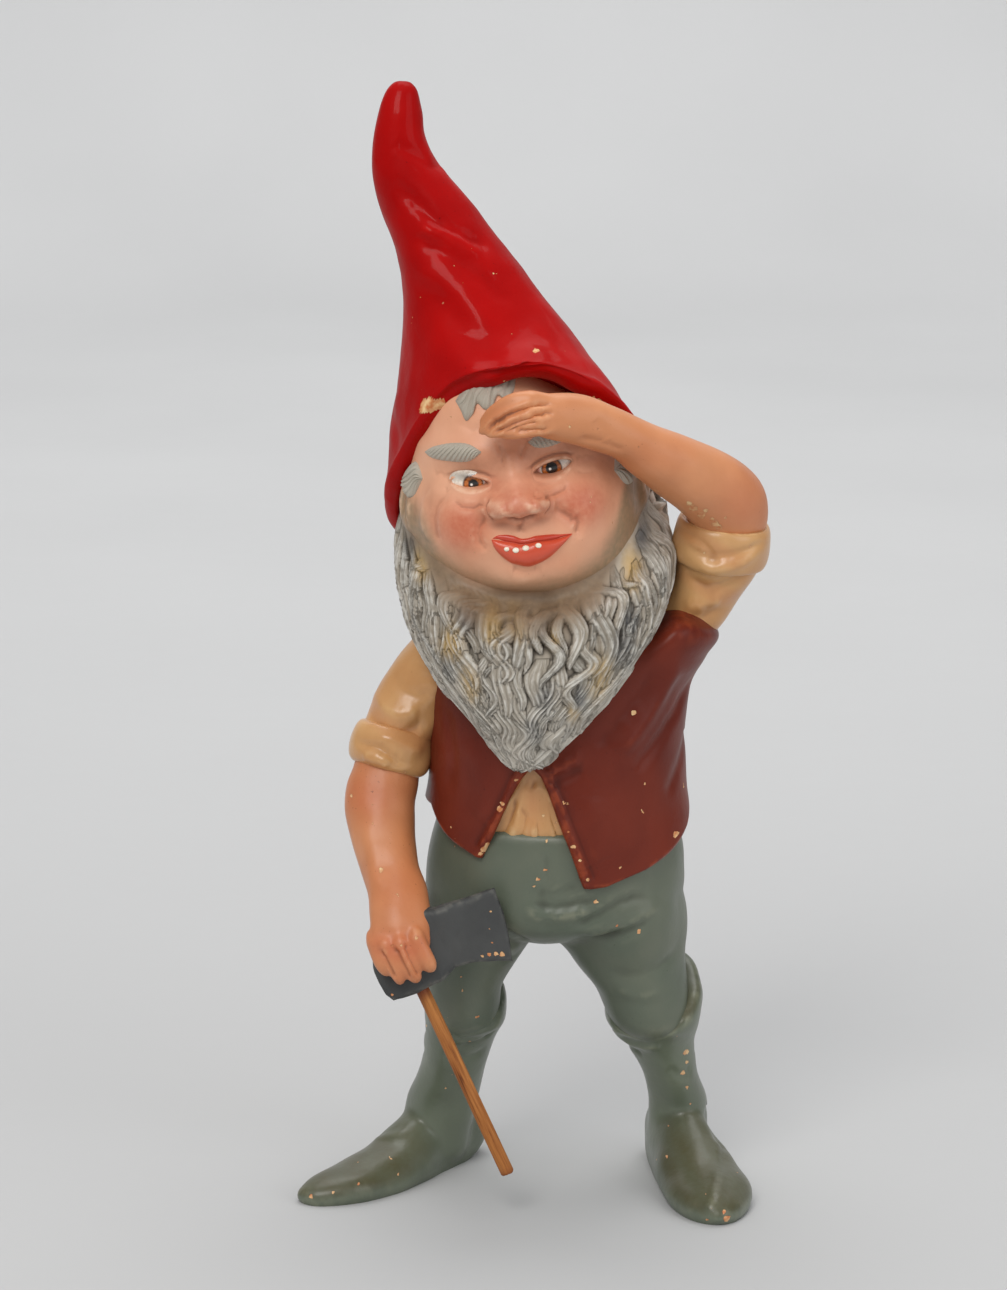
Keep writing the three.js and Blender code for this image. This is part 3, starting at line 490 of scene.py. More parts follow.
foot_length = 86
heel_back = 32
ball_swing = 3.6  # how far the ball of the foot swings out


def boot_skins(knee, heel_x, toe_turn, shaft, foot):
    """The shaft's rings down from the knee, and the foot's from the heel to the toe."""
    turn = math.radians(toe_turn)
    ahead = np.array([math.cos(turn), -math.sin(turn)])
    side = np.array([-ahead[1], ahead[0]])

    def on_foot(s, out=0.0):
        return np.array([heel_x, heel_back]) + ahead * s * foot_length + side * out

    ankle = on_foot(0.24)
    shaft_rows = []
    for height, x, wide, deep, back, dip, rise in shaft:
        y = knee + (ankle[1] - knee) * back
        shaft_rows.append((x, y, height, wide, deep, dip, 0, rise))
    foot_rows = []
    for s, swing, wide, top in foot:
        x, y = on_foot(s, swing * ball_swing)
        foot_rows.append((x, y, 0.34 * top, wide, 0.66 * top))
    return [standing(shaft_rows), limb(foot_rows, (*side, 0))]


# Each row of a shaft: height, x, half width, half depth, how far back towards the ankle, front dip, side rise
right_shaft = [
    (73.6, -26, 10, 13, 0, -9, -2),
    (74.6, -26, 13.8, 18.4, 0, -9, -2),
    (70, -25.8, 15.2, 19.6, 0, -7, -2),
    (63.5, -25.8, 15, 18.6, 0.08, -3, -1),
    (58.5, -26.6, 13.9, 17, 0.16, 0, 0),
    (54, -27.8, 12.8, 15.6, 0.24, 0, 0),
    (45, -29.6, 12.1, 14.4, 0.42, 0, 0),
    (36, -31.8, 12.4, 14, 0.66, 0, 0),
    (27, -34.4, 13, 14, 0.88, 0, 0),
    (15, -36.6, 13, 14, 1, 0, 0),
    (7, -37, 12, 13.4, 1, 0, 0),
    (3, -37, 9, 10, 1, 0, 0),
]
left_shaft = [
    (73.6, 42, 11, 14, 0, -10, 3),
    (74.6, 42.2, 16, 19, 0, -10, 3),
    (70, 42.3, 17.9, 20.4, 0, -8, 3),
    (63.5, 42.2, 17.5, 19.6, 0.08, -4, 1),
    (58.5, 43, 15.6, 17.8, 0.16, 0, 0),
    (54.4, 44, 13.4, 15.8, 0.24, 0, 0),
    (50.4, 45.4, 11.9, 14.8, 0.34, 0, 0),
    (45, 47.3, 10.7, 13.8, 0.44, 0, 0),
    (39.7, 49, 9.9, 13.2, 0.56, 0, 0),
    (34, 50.6, 10, 13.2, 0.7, 0, 0),
    (27, 52, 10.6, 13.6, 0.88, 0, 0),
    (15, 52, 11, 14, 1, 0, 0),
    (7, 51.6, 11, 13.4, 1, 0, 0),
    (3, 51.6, 8, 10, 1, 0, 0),
]
# Each row of a foot: share of its length, share of the ball's swing, half width, height
right_foot = [
    (0.005, 0, 4, 8),
    (0.04, 0, 7.4, 16),
    (0.11, 0, 9, 25),
    (0.23, 0, 10.4, 29),
    (0.36, 0.3, 11.6, 23),
    (0.49, 0.7, 13.4, 17),
    (0.62, 1, 13.8, 13.6),
    (0.74, 1, 13, 12),
    (0.85, 0.7, 11, 10.6),
    (0.93, 0.2, 8.6, 9),
    (0.98, -0.2, 5.6, 6.6),
    (1, -0.3, 2.6, 3.6),
]
left_foot = [
    (0.005, 0, 4, 8),
    (0.04, 0, 7.6, 17),
    (0.11, 0, 9.4, 26),
    (0.23, 0, 10.6, 31),
    (0.36, 0.2, 12, 28),
    (0.5, 0.6, 14, 21.6),
    (0.64, 1, 15.8, 16.4),
    (0.75, 1.1, 15.4, 13.6),
    (0.86, 1, 12.6, 11.6),
    (0.94, 1, 8.6, 9.2),
    (0.985, 1, 5, 6.4),
    (1, 1, 2, 3.4),
]


def stand_flat(boot):
    """Rubs the sole flat, as the maker does before the cast is fired."""
    boot.points[:, 2] = np.maximum(boot.points[:, 2], 0)


boot_green = painted_clay(
    "boot_green", (104, 112, 94), (92, 100, 84), (44, 44, 32), (142, 142, 118),
    rough=0.38, tints=[("instep", (76, 68, 38), 0.8)], specks=0.35, Coat_Weight=0.3, Coat_Roughness=0.25,
)
right_skins = boot_skins(knee=-1, heel_x=-23, toe_turn=135, shaft=right_shaft, foot=right_foot)
left_skins = boot_skins(knee=-2, heel_x=48, toe_turn=81, shaft=left_shaft, foot=left_foot)
right_boot = Cast(luted("right_boot_cast", right_skins, grain=0.8))
left_boot = Cast(luted("left_boot_cast", left_skins, grain=0.8))
for boot in (right_boot, left_boot):
    boot.relax(16)
    boot.uneven(18, 0.25, 5)
right_boot.folds([
    ([(-41, 67), (-34, 62.5), (-25, 60.5), (-16, 63), (-10.5, 69)], 1.6, -1.2),
    ([(-37, 60), (-26, 56), (-16, 57.5)], 1.8, 0.8),
    ([(-27, 54), (-20, 55.5), (-13, 59)], 1.5, -1.0),
    ([(-36, 50), (-26, 48), (-17, 51)], 2.0, -0.7),
    ([(-22, 66), (-15, 70), (-10, 72.5)], 1.4, -0.8),
])
left_boot.folds([
    ([(25, 67), (30, 61.5), (37, 59), (44, 60), (51, 66), (56, 74)], 1.7, -1.7),
    ([(26, 61), (31, 56), (38, 54.5), (46, 56)], 2.4, 1.2),
    ([(26.5, 56), (31, 51.5), (38, 50)], 1.6, -1.0),
    ([(47, 45), (53, 42), (58, 44)], 2.0, -0.6),
    ([(66, 14), (70, 20), (71, 27)], 2.2, -1.0),
    ([(58, 6), (64, 12), (68, 18)], 2.6, 0.7),
])
right_boot.fold([(-47, 20), (-56, 17), (-63, 14)], 2.4, 0.6)
for boot, azimuth in ((right_boot, 180), (left_boot, 180)):
    middle = -boot.points[:, 0].mean()
    boot.fold([(middle - 14, 62), (middle, 57), (middle + 14, 62)], 1.8, -1.3, azimuth)
    boot.fold([(middle - 12, 52), (middle, 48), (middle + 12, 52)], 1.8, -0.9, azimuth)
right_boot_chips = [
    (-64, 8, 0.5), (-73, 6, 0.5), (-81, 4.5, 0.7), (-33, 36, 0.5), (-40, 60, 0.5), (-25, 63, 0.6),
    (-24, 57, 0.5), (-20, 20, 0.5), (-50, 8, 0.4),
]
left_boot_chips = [
    (54, 51, 1.1), (54.4, 47, 0.7), (53, 43, 0.9), (54.6, 37, 0.6), (67, 3.6, 1.2), (66, 6, 0.7),
    (60, 3, 0.5), (47, 15, 0.4), (56, 30, 0.4),
]
for boot, toe, spots in (
    (right_boot, (-84, -32), right_boot_chips),
    (left_boot, (62, -53), left_boot_chips),
):
    stand_flat(boot)
    boot.renew()
    x, y, z = boot.points.T
    towards = np.hypot(x - toe[0], y - toe[1])
    instep = smooth_step(74 - towards, 0, 40) * smooth_step(boot.normals[:, 2], -0.1, 0.7)
    boot.mark("instep", instep * (0.8 + 0.2 * np.sin(x * 0.22 + z * 0.3) ** 2))
    boot.hollows(22, 0.5)
    boot.chips(spots)
right_boot.finish(boot_green, "boot_green", "right_boot")
left_boot.finish(boot_green, "boot_green", "left_boot")

# ---- Shirt -------------------------------------------------------------------------------------------------
# The trunk is a hollow cast. Only a wedge of it shows between the waistcoat's fronts, modelled as a shirt
# that is gathered in small pleats into the trousers, and painted cream.

trunk_rows = [
    (7, -2, 134, 40, 34),
    (7, -2, 144, 42, 36),
    (7, -2, 154, 42.5, 36.5),
    (7, -2, 170, 42.1, 36.1),
    (7.9, -2, 187, 42.9, 34.3),
    (11.7, -2, 198, 44, 30.7),
    (13, -1.3, 205, 40, 27),
    (10.4, -0.2, 210, 30.6, 22.6),
    (2.8, 0.9, 214, 19, 18.3),
    (1.1, 1.7, 217, 12, 13),
]
front_dense = -math.pi / 2 + np.linspace(0, 2 * math.pi, 280, endpoint=False)
front_dense = front_dense - 0.7 * np.sin(front_dense + math.pi / 2)
shirt = Cast(closed_skin("shirt_cast", standing(trunk_rows, steps=20, angles=front_dense)))
pleat = np.random.default_rng(11)
for k in range(9):
    top, foot_x = -1.6 + 0.62 * (k - 4), -2.2 + 3.6 * (k - 4) + pleat.uniform(-0.8, 0.8)
    high = 163 - pleat.uniform(0, 7)
    line = [(top, high), (top * 0.6 + foot_x * 0.4, 153), (foot_x, 139), (foot_x * 1.05, 135)]
    shirt.fold(line, 0.9, -0.75 if k % 2 else 0.8, ends=0.2)
shirt.press((-2, 141), (13, 4), 1.2)
shirt.relax(2)
shirt.hollows(8, 1.0)
shirt.chips([(2, 147, 0.5), (6.5, 144.6, 0.4)])
shirt_cream = painted_clay(
    "shirt_cream", (209, 162, 108), (194, 140, 86), (118, 62, 26), (226, 192, 140),
    rough=0.34, tints=[("warm", (190, 104, 62), 0.5)], specks=0.25, streaks=0.8,
    Coat_Weight=0.3, Coat_Roughness=0.2,
)
shirt.mark("warm", 0.5 * shirt.spot((-2, 152), (3.2, 14)))
shirt.finish(shirt_cream, "shirt_cream", "torso")

# ---- Waistcoat ---------------------------------------------------------------------------------------------
# An open waistcoat, pressed on the trunk as its own layer of clay about 3.5 mm thick. The fronts have a
# raised edge, the hem hangs in two points, and the left armhole is dragged up by the raised arm. The paint
# is red-brown, and worn to orange clay along the edges.

vest_rows = [
    (7.6, -1.8, 116, 50.6, 41.8),
    (7.6, -1.8, 126, 50, 41.6),
    (7.4, -1.8, 138, 48.2, 41.2),
    (7.2, -2, 150, 46.4, 40.4),
    (7, -2, 162, 45.8, 39.8),
    (7.2, -2, 174, 45.7, 39.3),
    (8, -2, 187, 46.4, 37.8),
    (11.6, -2, 198, 48.4, 34.2),
    (14, -1.6, 204.5, 48, 30.6),
    (13, -1, 208.5, 40, 27),
    (8, 0, 212.5, 28, 23),
    (2.8, 0.9, 216, 19, 19),
]
vest_thickness = 3.4
vest_top = 214
vest_waist = 140
fronts_part = 167  # the height at which the fronts part
# Degrees round from the front by the right side, and the hem's height there
hem_shape = np.array([
    (-10, 130), (20, 131), (36, 131.5), (53, 137), (75, 145.4), (92, 145), (135, 140), (180, 138), (225, 139.6),
    (262, 145.6), (274, 145.6), (289, 138), (322, 127), (341, 122.6), (350, 122.4), (355, 123.4), (370, 124),
])
vest_columns, vest_steps = 420, 200

filled = curved([list(row) for row in vest_rows], 40)
share = np.linspace(0, 1, vest_columns)[None, :]
rise = np.linspace(0, 1, vest_steps)[:, None]
height = vest_waist + (vest_top - vest_waist) * rise + 0 * share
for _ in range(6):
    x, y, wide, deep = (np.interp(height, filled[:, 2], filled[:, k]) for k in (0, 1, 3, 4))
    down = np.maximum(fronts_part - height, 0)
    right_x = -3.1 - 1.6 * smooth_step(down, 0, 6) - 0.46 * down
    left_x = -2.4 + 2.6 * smooth_step(down, 0, 6) + 0.39 * down
    right_turn = np.arcsin(np.clip((x - right_x) / wide, -1, 1))
    left_turn = 2 * math.pi + np.arcsin(np.clip((x - left_x) / wide, -1, 1))
    turn = right_turn + (left_turn - right_turn) * (share + 0.06 * np.sin(2 * math.pi * share))
    hem = np.interp(np.degrees(turn), *hem_shape.T)
    height = hem + (vest_top - hem) * rise
vest_outside = np.stack([x - wide * np.sin(turn), y - deep * np.cos(turn), height], -1)


def round_the_rim(rows, sides):
    """The places of a grid's rim, side by side, each side from one corner to the next."""
    down = [(r, 0) for r in range(rows)]
    right = [(rows - 1, s) for s in range(sides)]
    up = [(r, sides - 1) for r in range(rows - 1, -1, -1)]
    return [down, right, up, [(0, s) for s in range(sides - 1, -1, -1)]]


def shell(name, outside, inside, coarse=4):
    """A closed sheet between two grids of points, with a rounded rim; the inside has fewer points."""
    rows, sides = outside.shape[:2]
    few_rows, few_sides = (np.unique(np.append(np.arange(0, k, coarse), k - 1)) for k in (rows, sides))
    back = inside[np.ix_(few_rows, few_sides)]
    four = round_the_rim(rows, sides)
    rim = np.array([place for side in four for place in side[:-1]])
    edge = rim[:, 0] * sides + rim[:, 1]
    out, behind = outside[rim[:, 0], rim[:, 1]], inside[rim[:, 0], rim[:, 1]]
    inner = outside[np.clip(rim[:, 0], 1, rows - 2), np.clip(rim[:, 1], 1, sides - 2)]
    outward = (out - inner) / np.maximum(np.linalg.norm(out - inner, axis=1), 1e-6)[:, None]
    centre, half = (out + behind) / 2, np.linalg.norm(out - behind, axis=1)[:, None] / 2
    bands = [
        centre + (out - centre) * math.sin(angle) + outward * half * 0.7 * math.cos(angle)
        for angle in np.radians([45, 0, -45])
    ]
    total, count = rows * sides, len(edge)
    points = np.vstack([outside.reshape(-1, 3), *bands, back.reshape(-1, 3)])
    start = total + 3 * count
    faces = [tuple(f) for f in ring_faces(rows, sides, wrap=False).tolist()]
    faces += [tuple(f[::-1]) for f in (ring_faces(*back.shape[:2], wrap=False) + start).tolist()]
    loops = [edge] + [total + band * count + np.arange(count) for band in range(3)]
    after = np.roll(np.arange(count), -1)
    for a, b in zip(loops[:-1], loops[1:]):
        faces += [tuple(f)[::-1] for f in np.stack([a, b, b[after], a[after]], 1).tolist()]
    corner = 0
    for fine, few in zip(four, round_the_rim(*back.shape[:2])):
        a = [int(loops[3][(corner + k) % count]) for k in range(len(fine))]
        b = [start + r * back.shape[1] + c for r, c in few]
        corner += len(fine) - 1
        i = j = 0
        while i < len(a) - 1 or j < len(b) - 1:
            if j == len(b) - 1 or (i < len(a) - 1 and (i + 1) / (len(a) - 1) <= (j + 1) / (len(b) - 1)):
                faces.append((a[i + 1], b[j], a[i]))
                i += 1
            else:
                faces.append((b[j + 1], b[j], a[i]))
                j += 1
    return mesh_object(name, points, faces)


def grid_normals(grid, outwards_from):
    """Unit normals of a grid of points, away from a place inside it."""
    normal = np.cross(np.gradient(grid, axis=0), np.gradient(grid, axis=1))
    normal /= np.maximum(np.linalg.norm(normal, axis=2), 1e-9)[:, :, None]
    facing_out = np.einsum("ijk,ijk->ij", normal, grid - np.asarray(outwards_from, float))
    return normal * (1 if np.median(facing_out) > 0 else -1)


outward = grid_normals(vest_outside, (7, -2, 170))
vest = Cast(shell("waistcoat_cast", vest_outside, vest_outside - vest_thickness * outward))
for line in (
    [(-4.9, 165), (-7.2, 160), (-13.5, 147), (-20.3, 133.5)],
    [(0.9, 165), (3.4, 160), (8.4, 147), (13.6, 133), (17.6, 123.5)],
):
    way = -1 if line[0][0] < -2 else 1
    vest.fold([(a + 1.6 * way, z) for a, z in line], 1.2, 1.1, ends=0.08)
    vest.fold([(a + 4.2 * way, z) for a, z in line], 1.3, -0.6, ends=0.1)
vest.folds([
    ([(28, 168), (40, 182), (52, 200)], 3.4, 1.5),
    ([(34, 160), (46, 174), (57, 190)], 3.0, -1.3),
    ([(20, 172), (32, 184), (44, 200)], 3.0, -1.1),
    ([(3, 163), (9, 166.5), (17, 170)], 2.4, 1.2),
    ([(4, 158.5), (10, 161), (18, 165)], 2.4, -0.9),
    ([(46, 150), (52, 160), (55, 172)], 3.0, -0.8),
    ([(-34, 150), (-31, 166), (-34, 184)], 3.4, -0.8),
    ([(-22, 142), (-20, 156), (-26, 174)], 4.0, 0.8),
    ([(22, 128), (20, 142), (18, 156)], 5.0, 0.7),
])
vest.folds([
    ([(-7, 206), (-7.5, 180), (-7, 148)], 2.0, -1.1),
    ([(-50, 196), (-36, 182), (-24, 172)], 3.2, -1.3),
    ([(-52, 186), (-38, 172), (-22, 164)], 3.4, 1.3),
    ([(-48, 172), (-34, 160), (-18, 154)], 3.2, -1.1),
    ([(30, 188), (20, 172), (16, 156)], 3.2, -0.9),
    ([(34, 160), (20, 152), (4, 150)], 3.2, 0.9),
], azimuth=180)
vest.press((51, 205), (12, 10), 6.5, forward=0.85)
x, y, z = vest.points.T
vest.points[:, 2] += 6.5 * np.exp(-(((x - 51) / 8.5) ** 2)) * smooth_step(z, 194, 206)
vest.points[:, 0] += 2.0 * smooth_step(x, 44, 58) * smooth_step(z, 198, 208)
vest.uneven(26, 0.35, 8)
vest.hollows(16, 0.5)
vest.chips([
    (-18.6, 134.4, 1.3), (-17.6, 136.2, 0.9), (-20, 132.6, 0.8), (-13.2, 149.5, 1.0),
    (-12.4, 151.6, 0.7), (-7.6, 160.6, 0.5), (17.4, 125.4, 0.8), (14.6, 132.4, 0.6),
    (49, 136.6, 1.1), (12.4, 137.2, 0.9), (10.4, 142.6, 0.5), (37.6, 157, 0.5), (33.6, 183, 0.9),
    (29, 128.4, 0.5),
])
waistcoat_brown = painted_clay(
    "waistcoat_brown", (116, 42, 24), (102, 34, 19), (48, 14, 9), (158, 70, 38),
    rough=0.42, specks=0.5, streaks=0.7, Coat_Weight=0.12, Coat_Roughness=0.3, Specular_IOR_Level=0.2,
)
vest.finish(waistcoat_brown, "waistcoat_brown", "waistcoat")

# ---- Shirt sleeves and rolled cuffs ------------------------------------------------------------------------
# Short wide sleeves, rolled once above the elbow. Each sleeve is a cast luted into the trunk, and its cuff is
# a roll of clay smoothed over the seam. Cream paint with a soft gloss lies thick in the folds, which are
# darkened with painted shade.

right_sleeve_rows = [
    (-20, 1, 203, 9, 11),
    (-26, 1, 200.5, 12.5, 14),
    (-33, 1, 194.5, 13.6, 15.4),
    (-41, 0, 184, 13.6, 15),
    (-48, -2, 172, 13.2, 14.4),
    (-52, -4, 162, 12.4, 13.6),
    (-53, -4.4, 159, 11, 12),
]
left_sleeve_rows = [
    (34, -2, 190, 8, 10),
    (41.6, -2, 199, 10, 12.6),
    (51, -2.2, 209, 11.4, 13.6),
    (58.4, -3, 220.4, 12.4, 14.6),
    (63, -5, 232.5, 15, 16.6),
    (65.4, -8, 242, 15.8, 17),
    (66, -8.6, 245.5, 13.6, 15),
]


def cuff_rows(centre, lean, wide, deep, roll, width):
    """The outside of a roll of cloth round the end of a sleeve."""
    shape = [(-0.56, -0.5), (-0.5, 0.45), (-0.3, 1), (0.05, 1.15), (0.36, 0.85), (0.5, 0.1), (0.46, -0.6)]
    return [
        (*(np.array(centre) + np.array(lean) * along * width), wide + roll * out, deep + roll * out)
        for along, out in shape
    ]


right_sleeve = Cast(closed_skin("right_sleeve_cast", limb(right_sleeve_rows, (1, 0, 0), sides=180, steps=22)))
left_sleeve = Cast(closed_skin("left_sleeve_cast", limb(left_sleeve_rows, (1, 0, 0), sides=190, steps=22)))
right_cuff_rows = cuff_rows((-51.8, -3.6, 163.4), (-0.22, -0.16, -0.96), 12.2, 13.4, 2.4, 15)
left_cuff_rows = cuff_rows((64.8, -7.6, 239.4), (0.13, -0.1, 0.98), 15.2, 16.6, 1.9, 15)
right_cuff = Cast(closed_skin("right_cuff_cast", limb(right_cuff_rows, (1, 0, 0), sides=180, steps=12)))
left_cuff = Cast(closed_skin("left_cuff_cast", limb(left_cuff_rows, (1, 0, 0), sides=190, steps=12)))
right_sleeve.folds([
    ([(-63, 178), (-54, 173), (-44, 172), (-38, 175)], 2.0, -1.3),
    ([(-60, 184), (-50, 179), (-40, 180)], 2.6, 1.2),
    ([(-54, 192), (-45, 186), (-36, 188)], 2.6, -0.9),
    ([(-44, 200), (-37, 192), (-34, 184)], 2.6, 0.8),
])
right_cuff.folds([
    ([(-66, 168.5), (-58, 167.5), (-50, 164), (-45, 158)], 1.7, -1.4),
    ([(-64, 163), (-57, 162), (-51, 159)], 2.2, 0.9),
    ([(-60, 172), (-52, 171), (-44, 167), (-38, 165)], 2.0, 0.8),
])
left_sleeve.folds([
    ([(50, 229), (58, 224), (68, 226), (76, 232)], 2.0, -1.2),
    ([(50, 220), (57, 217), (66, 220)], 2.4, 1.0),
    ([(52, 213), (58, 212), (66, 216)], 1.8, -0.8),
    ([(60, 206), (60, 216), (57, 226)], 2.2, -0.7),
])
left_cuff.folds([
    ([(49, 240), (57, 236.5), (66, 236), (76, 239), (81, 242)], 1.6, -1.0),
    ([(52, 234), (60, 231.5), (70, 233), (79, 237)], 2.0, 0.9),
    ([(49, 246), (56, 241), (62, 234)], 1.6, -0.7),
])
for cast in (right_sleeve, left_sleeve, right_cuff, left_cuff):
    cast.uneven(15, 0.3, 21)
    cast.relax(3)
    cast.hollows(14, 0.6)
    x, y, z = cast.points.T
    cast.mark("warm", 0.5 * smooth_step(np.sin(x * 0.13 + z * 0.21) * np.cos(z * 0.12 - y * 0.1), 0.2, 1))
left_cuff.chips([(74, 240, 0.5), (58, 238, 0.4)])
right_cuff.chips([(-60, 160.2, 0.5), (-47, 157.6, 0.5)])
for cast, node in (
    (right_sleeve, "right_sleeve"), (left_sleeve, "left_sleeve"),
    (right_cuff, "right_cuff"), (left_cuff, "left_cuff"),
):
    cast.finish(shirt_cream, "shirt_cream", node)

# ---- Right forearm and fist --------------------------------------------------------------------------------
# A bare forearm that hangs from the cuff, with the hand closed over the front of the axe. The fingers were
# scored apart in the wet clay. Flesh paint, redder on the knuckles and at the elbow.

right_arm_rows = [
    (-52.6, -4, 166, 11, 11.6),
    (-53, -4.4, 160, 11.6, 12.2),
    (-54, -6.4, 154, 12.1, 12.4),
    (-56, -11, 145, 12.4, 12.4),
    (-54.6, -18, 134, 11.6, 11.4),
    (-51.8, -27, 124, 10.2, 10),
    (-49, -36, 117, 10.6, 8.8),
    (-48, -43, 111.6, 10.8, 7.4),
    (-48, -48, 106.5, 10.6, 5.6),
    (-46.8, -50, 101.5, 9.8, 4.2),
    (-45.8, -49.6, 98, 7, 3),
]
# Each finger from its knuckle to its tip: x, y, z and radius
fist_fingers = [
    [
        (-58, -45, 107, 2.4), (-57, -48.6, 103.6, 3.0), (-55, -51.4, 98.6, 2.9),
        (-53.2, -51.6, 95, 2.5), (-52.4, -50.4, 93.2, 1.6),
    ],
    [
        (-54, -47, 108, 2.5), (-53, -51.4, 104, 3.0), (-50.4, -53.8, 97.6, 3.0),
        (-48.6, -53.4, 92.8, 2.6), (-47.8, -51.6, 90.6, 1.7),
    ],
    [
        (-49, -48, 108.6, 2.5), (-48, -52.4, 105, 3.1), (-45.2, -54.6, 98.4, 3.1),
        (-43.2, -54, 93.8, 2.8), (-42.4, -52, 91.6, 1.8),
    ],
    [
        (-43.6, -48, 110, 2.6), (-42.6, -52, 106, 3.2), (-39.6, -54, 100.6, 3.2),
        (-38, -53.4, 97.4, 2.9), (-37.2, -51.6, 95.4, 1.9),
    ],
]


def finger(rows, across):
    return limb([(x, y, z, radius, radius) for x, y, z, radius in rows], across, sides=20, steps=6)


flesh_tints = [
    ("blush", (188, 84, 50), 0.8),
    # The shade tint carries the lid liner and a brown that is partly airbrush and partly painted shade.
    ("shade", (138, 78, 46), 0.8),
    ("fade", (144, 122, 94), 1.0),
]
flesh = painted_clay(
    "flesh", (232, 176, 142), (224, 160, 124), (122, 66, 38), (240, 200, 168),
    rough=0.46, tints=flesh_tints, specks=0.35, streaks=0.35, Coat_Weight=0.12, Coat_Roughness=0.35,
)
arm_flesh = painted_clay(
    "arm_flesh", (211, 142, 96), (197, 126, 80), (100, 48, 22), (230, 172, 126),
    rough=0.44, tints=flesh_tints[:1], specks=0.55, streaks=0.6, Coat_Weight=0.15, Coat_Roughness=0.35,
)
skins = [limb(right_arm_rows, (1, 0, 0))] + [finger(rows, (1, 0, 0)) for rows in fist_fingers]
right_arm = Cast(luted("right_forearm_cast", skins, grain=0.55))
right_arm.relax(7)
for line in (
    [(-56.2, 104), (-53.8, 98), (-50.8, 91.6)],
    [(-51.4, 105.6), (-48.6, 98.6), (-45, 90.8)],
    [(-46.2, 107.6), (-43, 100.6), (-39.2, 93.6)],
):
    right_arm.fold(line, 0.75, -1.1, ends=0.2)
for knuckle in [(-57.2, 104.4), (-53, 105.8), (-48, 107), (-42.8, 108)]:
    right_arm.press(knuckle, (2.4, 2.0), 0.7)
right_arm.fold([(-58, 110), (-50, 108.5), (-42, 111)], 2.2, -0.5)
right_arm.fold([(-62, 143), (-60, 132), (-56, 121)], 3.0, 0.6)
right_arm.uneven(14, 0.2, 31)
right_arm.relax(1)
right_arm.hollows(9, 0.9)
right_arm.mark("blush", right_arm.dabs([
    (0.75, (-48, 104), (14, 6)), (0.5, (-60, 150), (12, 9)),
    (0.35, (-46, 92), (12, 5)), (0.25, (-48, 122), (14, 10)),
]))
right_arm.chips([
    (-55, 127, 0.8), (-50.6, 104.6, 0.4), (-42.4, 107.6, 0.6), (-47.6, 105, 0.4), (-66, 149, 0.5),
])
right_arm.finish(arm_flesh, "flesh", "right_forearm")

# ---- Axe head ----------------------------------------------------------------------------------------------
# A small felling axe cast in clay: a thick poll with the socket in its underside, a bit that thins to the
# edge and hangs lower than the poll, and a coat of charcoal paint that has chipped off the lower edge.

lean = math.radians(24)
to_edge = np.array([math.cos(lean), 0, math.sin(lean)])
to_handle = np.array([math.sin(lean), 0, -math.cos(lean)])
socket_mouth = np.array([-40.7, -43, 85.4])


def in_axe(along, up, out=0.0):
    """A place in the axe: towards the edge, up the head from the socket's mouth, and towards the viewer."""
    return socket_mouth + to_edge * along - to_handle * up - np.array([0, 1, 0]) * out


# The head's outline above and below, and its half thickness, along from the poll to the edge
axe_top = [(-12.4, 14), (-10.8, 18), (-4, 22.6), (5, 26), (12.6, 27.4), (16, 25.6), (27, 24.4), (38.4, 23.4)]
axe_foot = [(-12, 3.6), (-10.4, 0.6), (-3, 0), (9, -0.2), (14, 2.4), (22, 1.2), (29, -1.6), (33.4, -3.8)]
axe_half = [(-12.6, 5.0), (-10, 6), (0, 6), (9, 5.8), (14, 4.2), (24, 2.8), (33, 1.7), (38, 1.2)]
columns = []
for s in np.linspace(0, 1, 150):
    top_u, top_w = np.array([np.interp(s, np.linspace(0, 1, 8), [p[k] for p in axe_top]) for k in (0, 1)])
    foot_u, foot_w = np.array([np.interp(s, np.linspace(0, 1, 8), [p[k] for p in axe_foot]) for k in (0, 1)])
    ring = []
    for t in np.linspace(0, 1, 80, endpoint=False):
        side = 1 if t < 0.5 else -1
        level = 2 * t if t < 0.5 else 2 - 2 * t
        u, w = foot_u + (top_u - foot_u) * level, foot_w + (top_w - foot_w) * level
        u += (0.9 * math.sin(math.pi * level)) * s**4
        half = np.interp(u, [p[0] for p in axe_half], [p[1] for p in axe_half])
        round_off = (1 - abs(2 * level - 1) ** 9) ** 0.5
        end_off = (1 - abs(2 * s - 1) ** 40) ** 0.5
        ring.append(in_axe(u, w, side * half * max(round_off, 0.02) * max(end_off, 0.12)))
    columns.append(ring)
axe = Cast(closed_skin("axe_head_cast", np.array(columns)))
axe.uneven(9, 0.16, 41)
axe.uneven(3.5, 0.05, 42)
axe.fold([(-31, 88), (-29, 98), (-26, 112)], 2.4, -0.5)
axe.hollows(8, 0.9)
axe.chips([
    (-12.5, 98.6, 0.9), (-14.6, 98.9, 0.8), (-17, 98.7, 0.7), (-19.4, 98.2, 0.6), (-8.4, 99.6, 0.5),
    (-16, 103, 0.35), (-17, 108, 0.3), (-16.4, 114, 0.4), (-13.6, 121.2, 0.5), (-5, 100, 0.4),
    (-51, 85, 0.5),
])
axe_black = painted_clay(
    "axe_black", (74, 75, 74), (60, 61, 61), (24, 24, 24), (116, 114, 106),
    rough=0.62, specks=0.5, streaks=0.8,
)
axe.finish(axe_black, "axe_black", "axe_head")
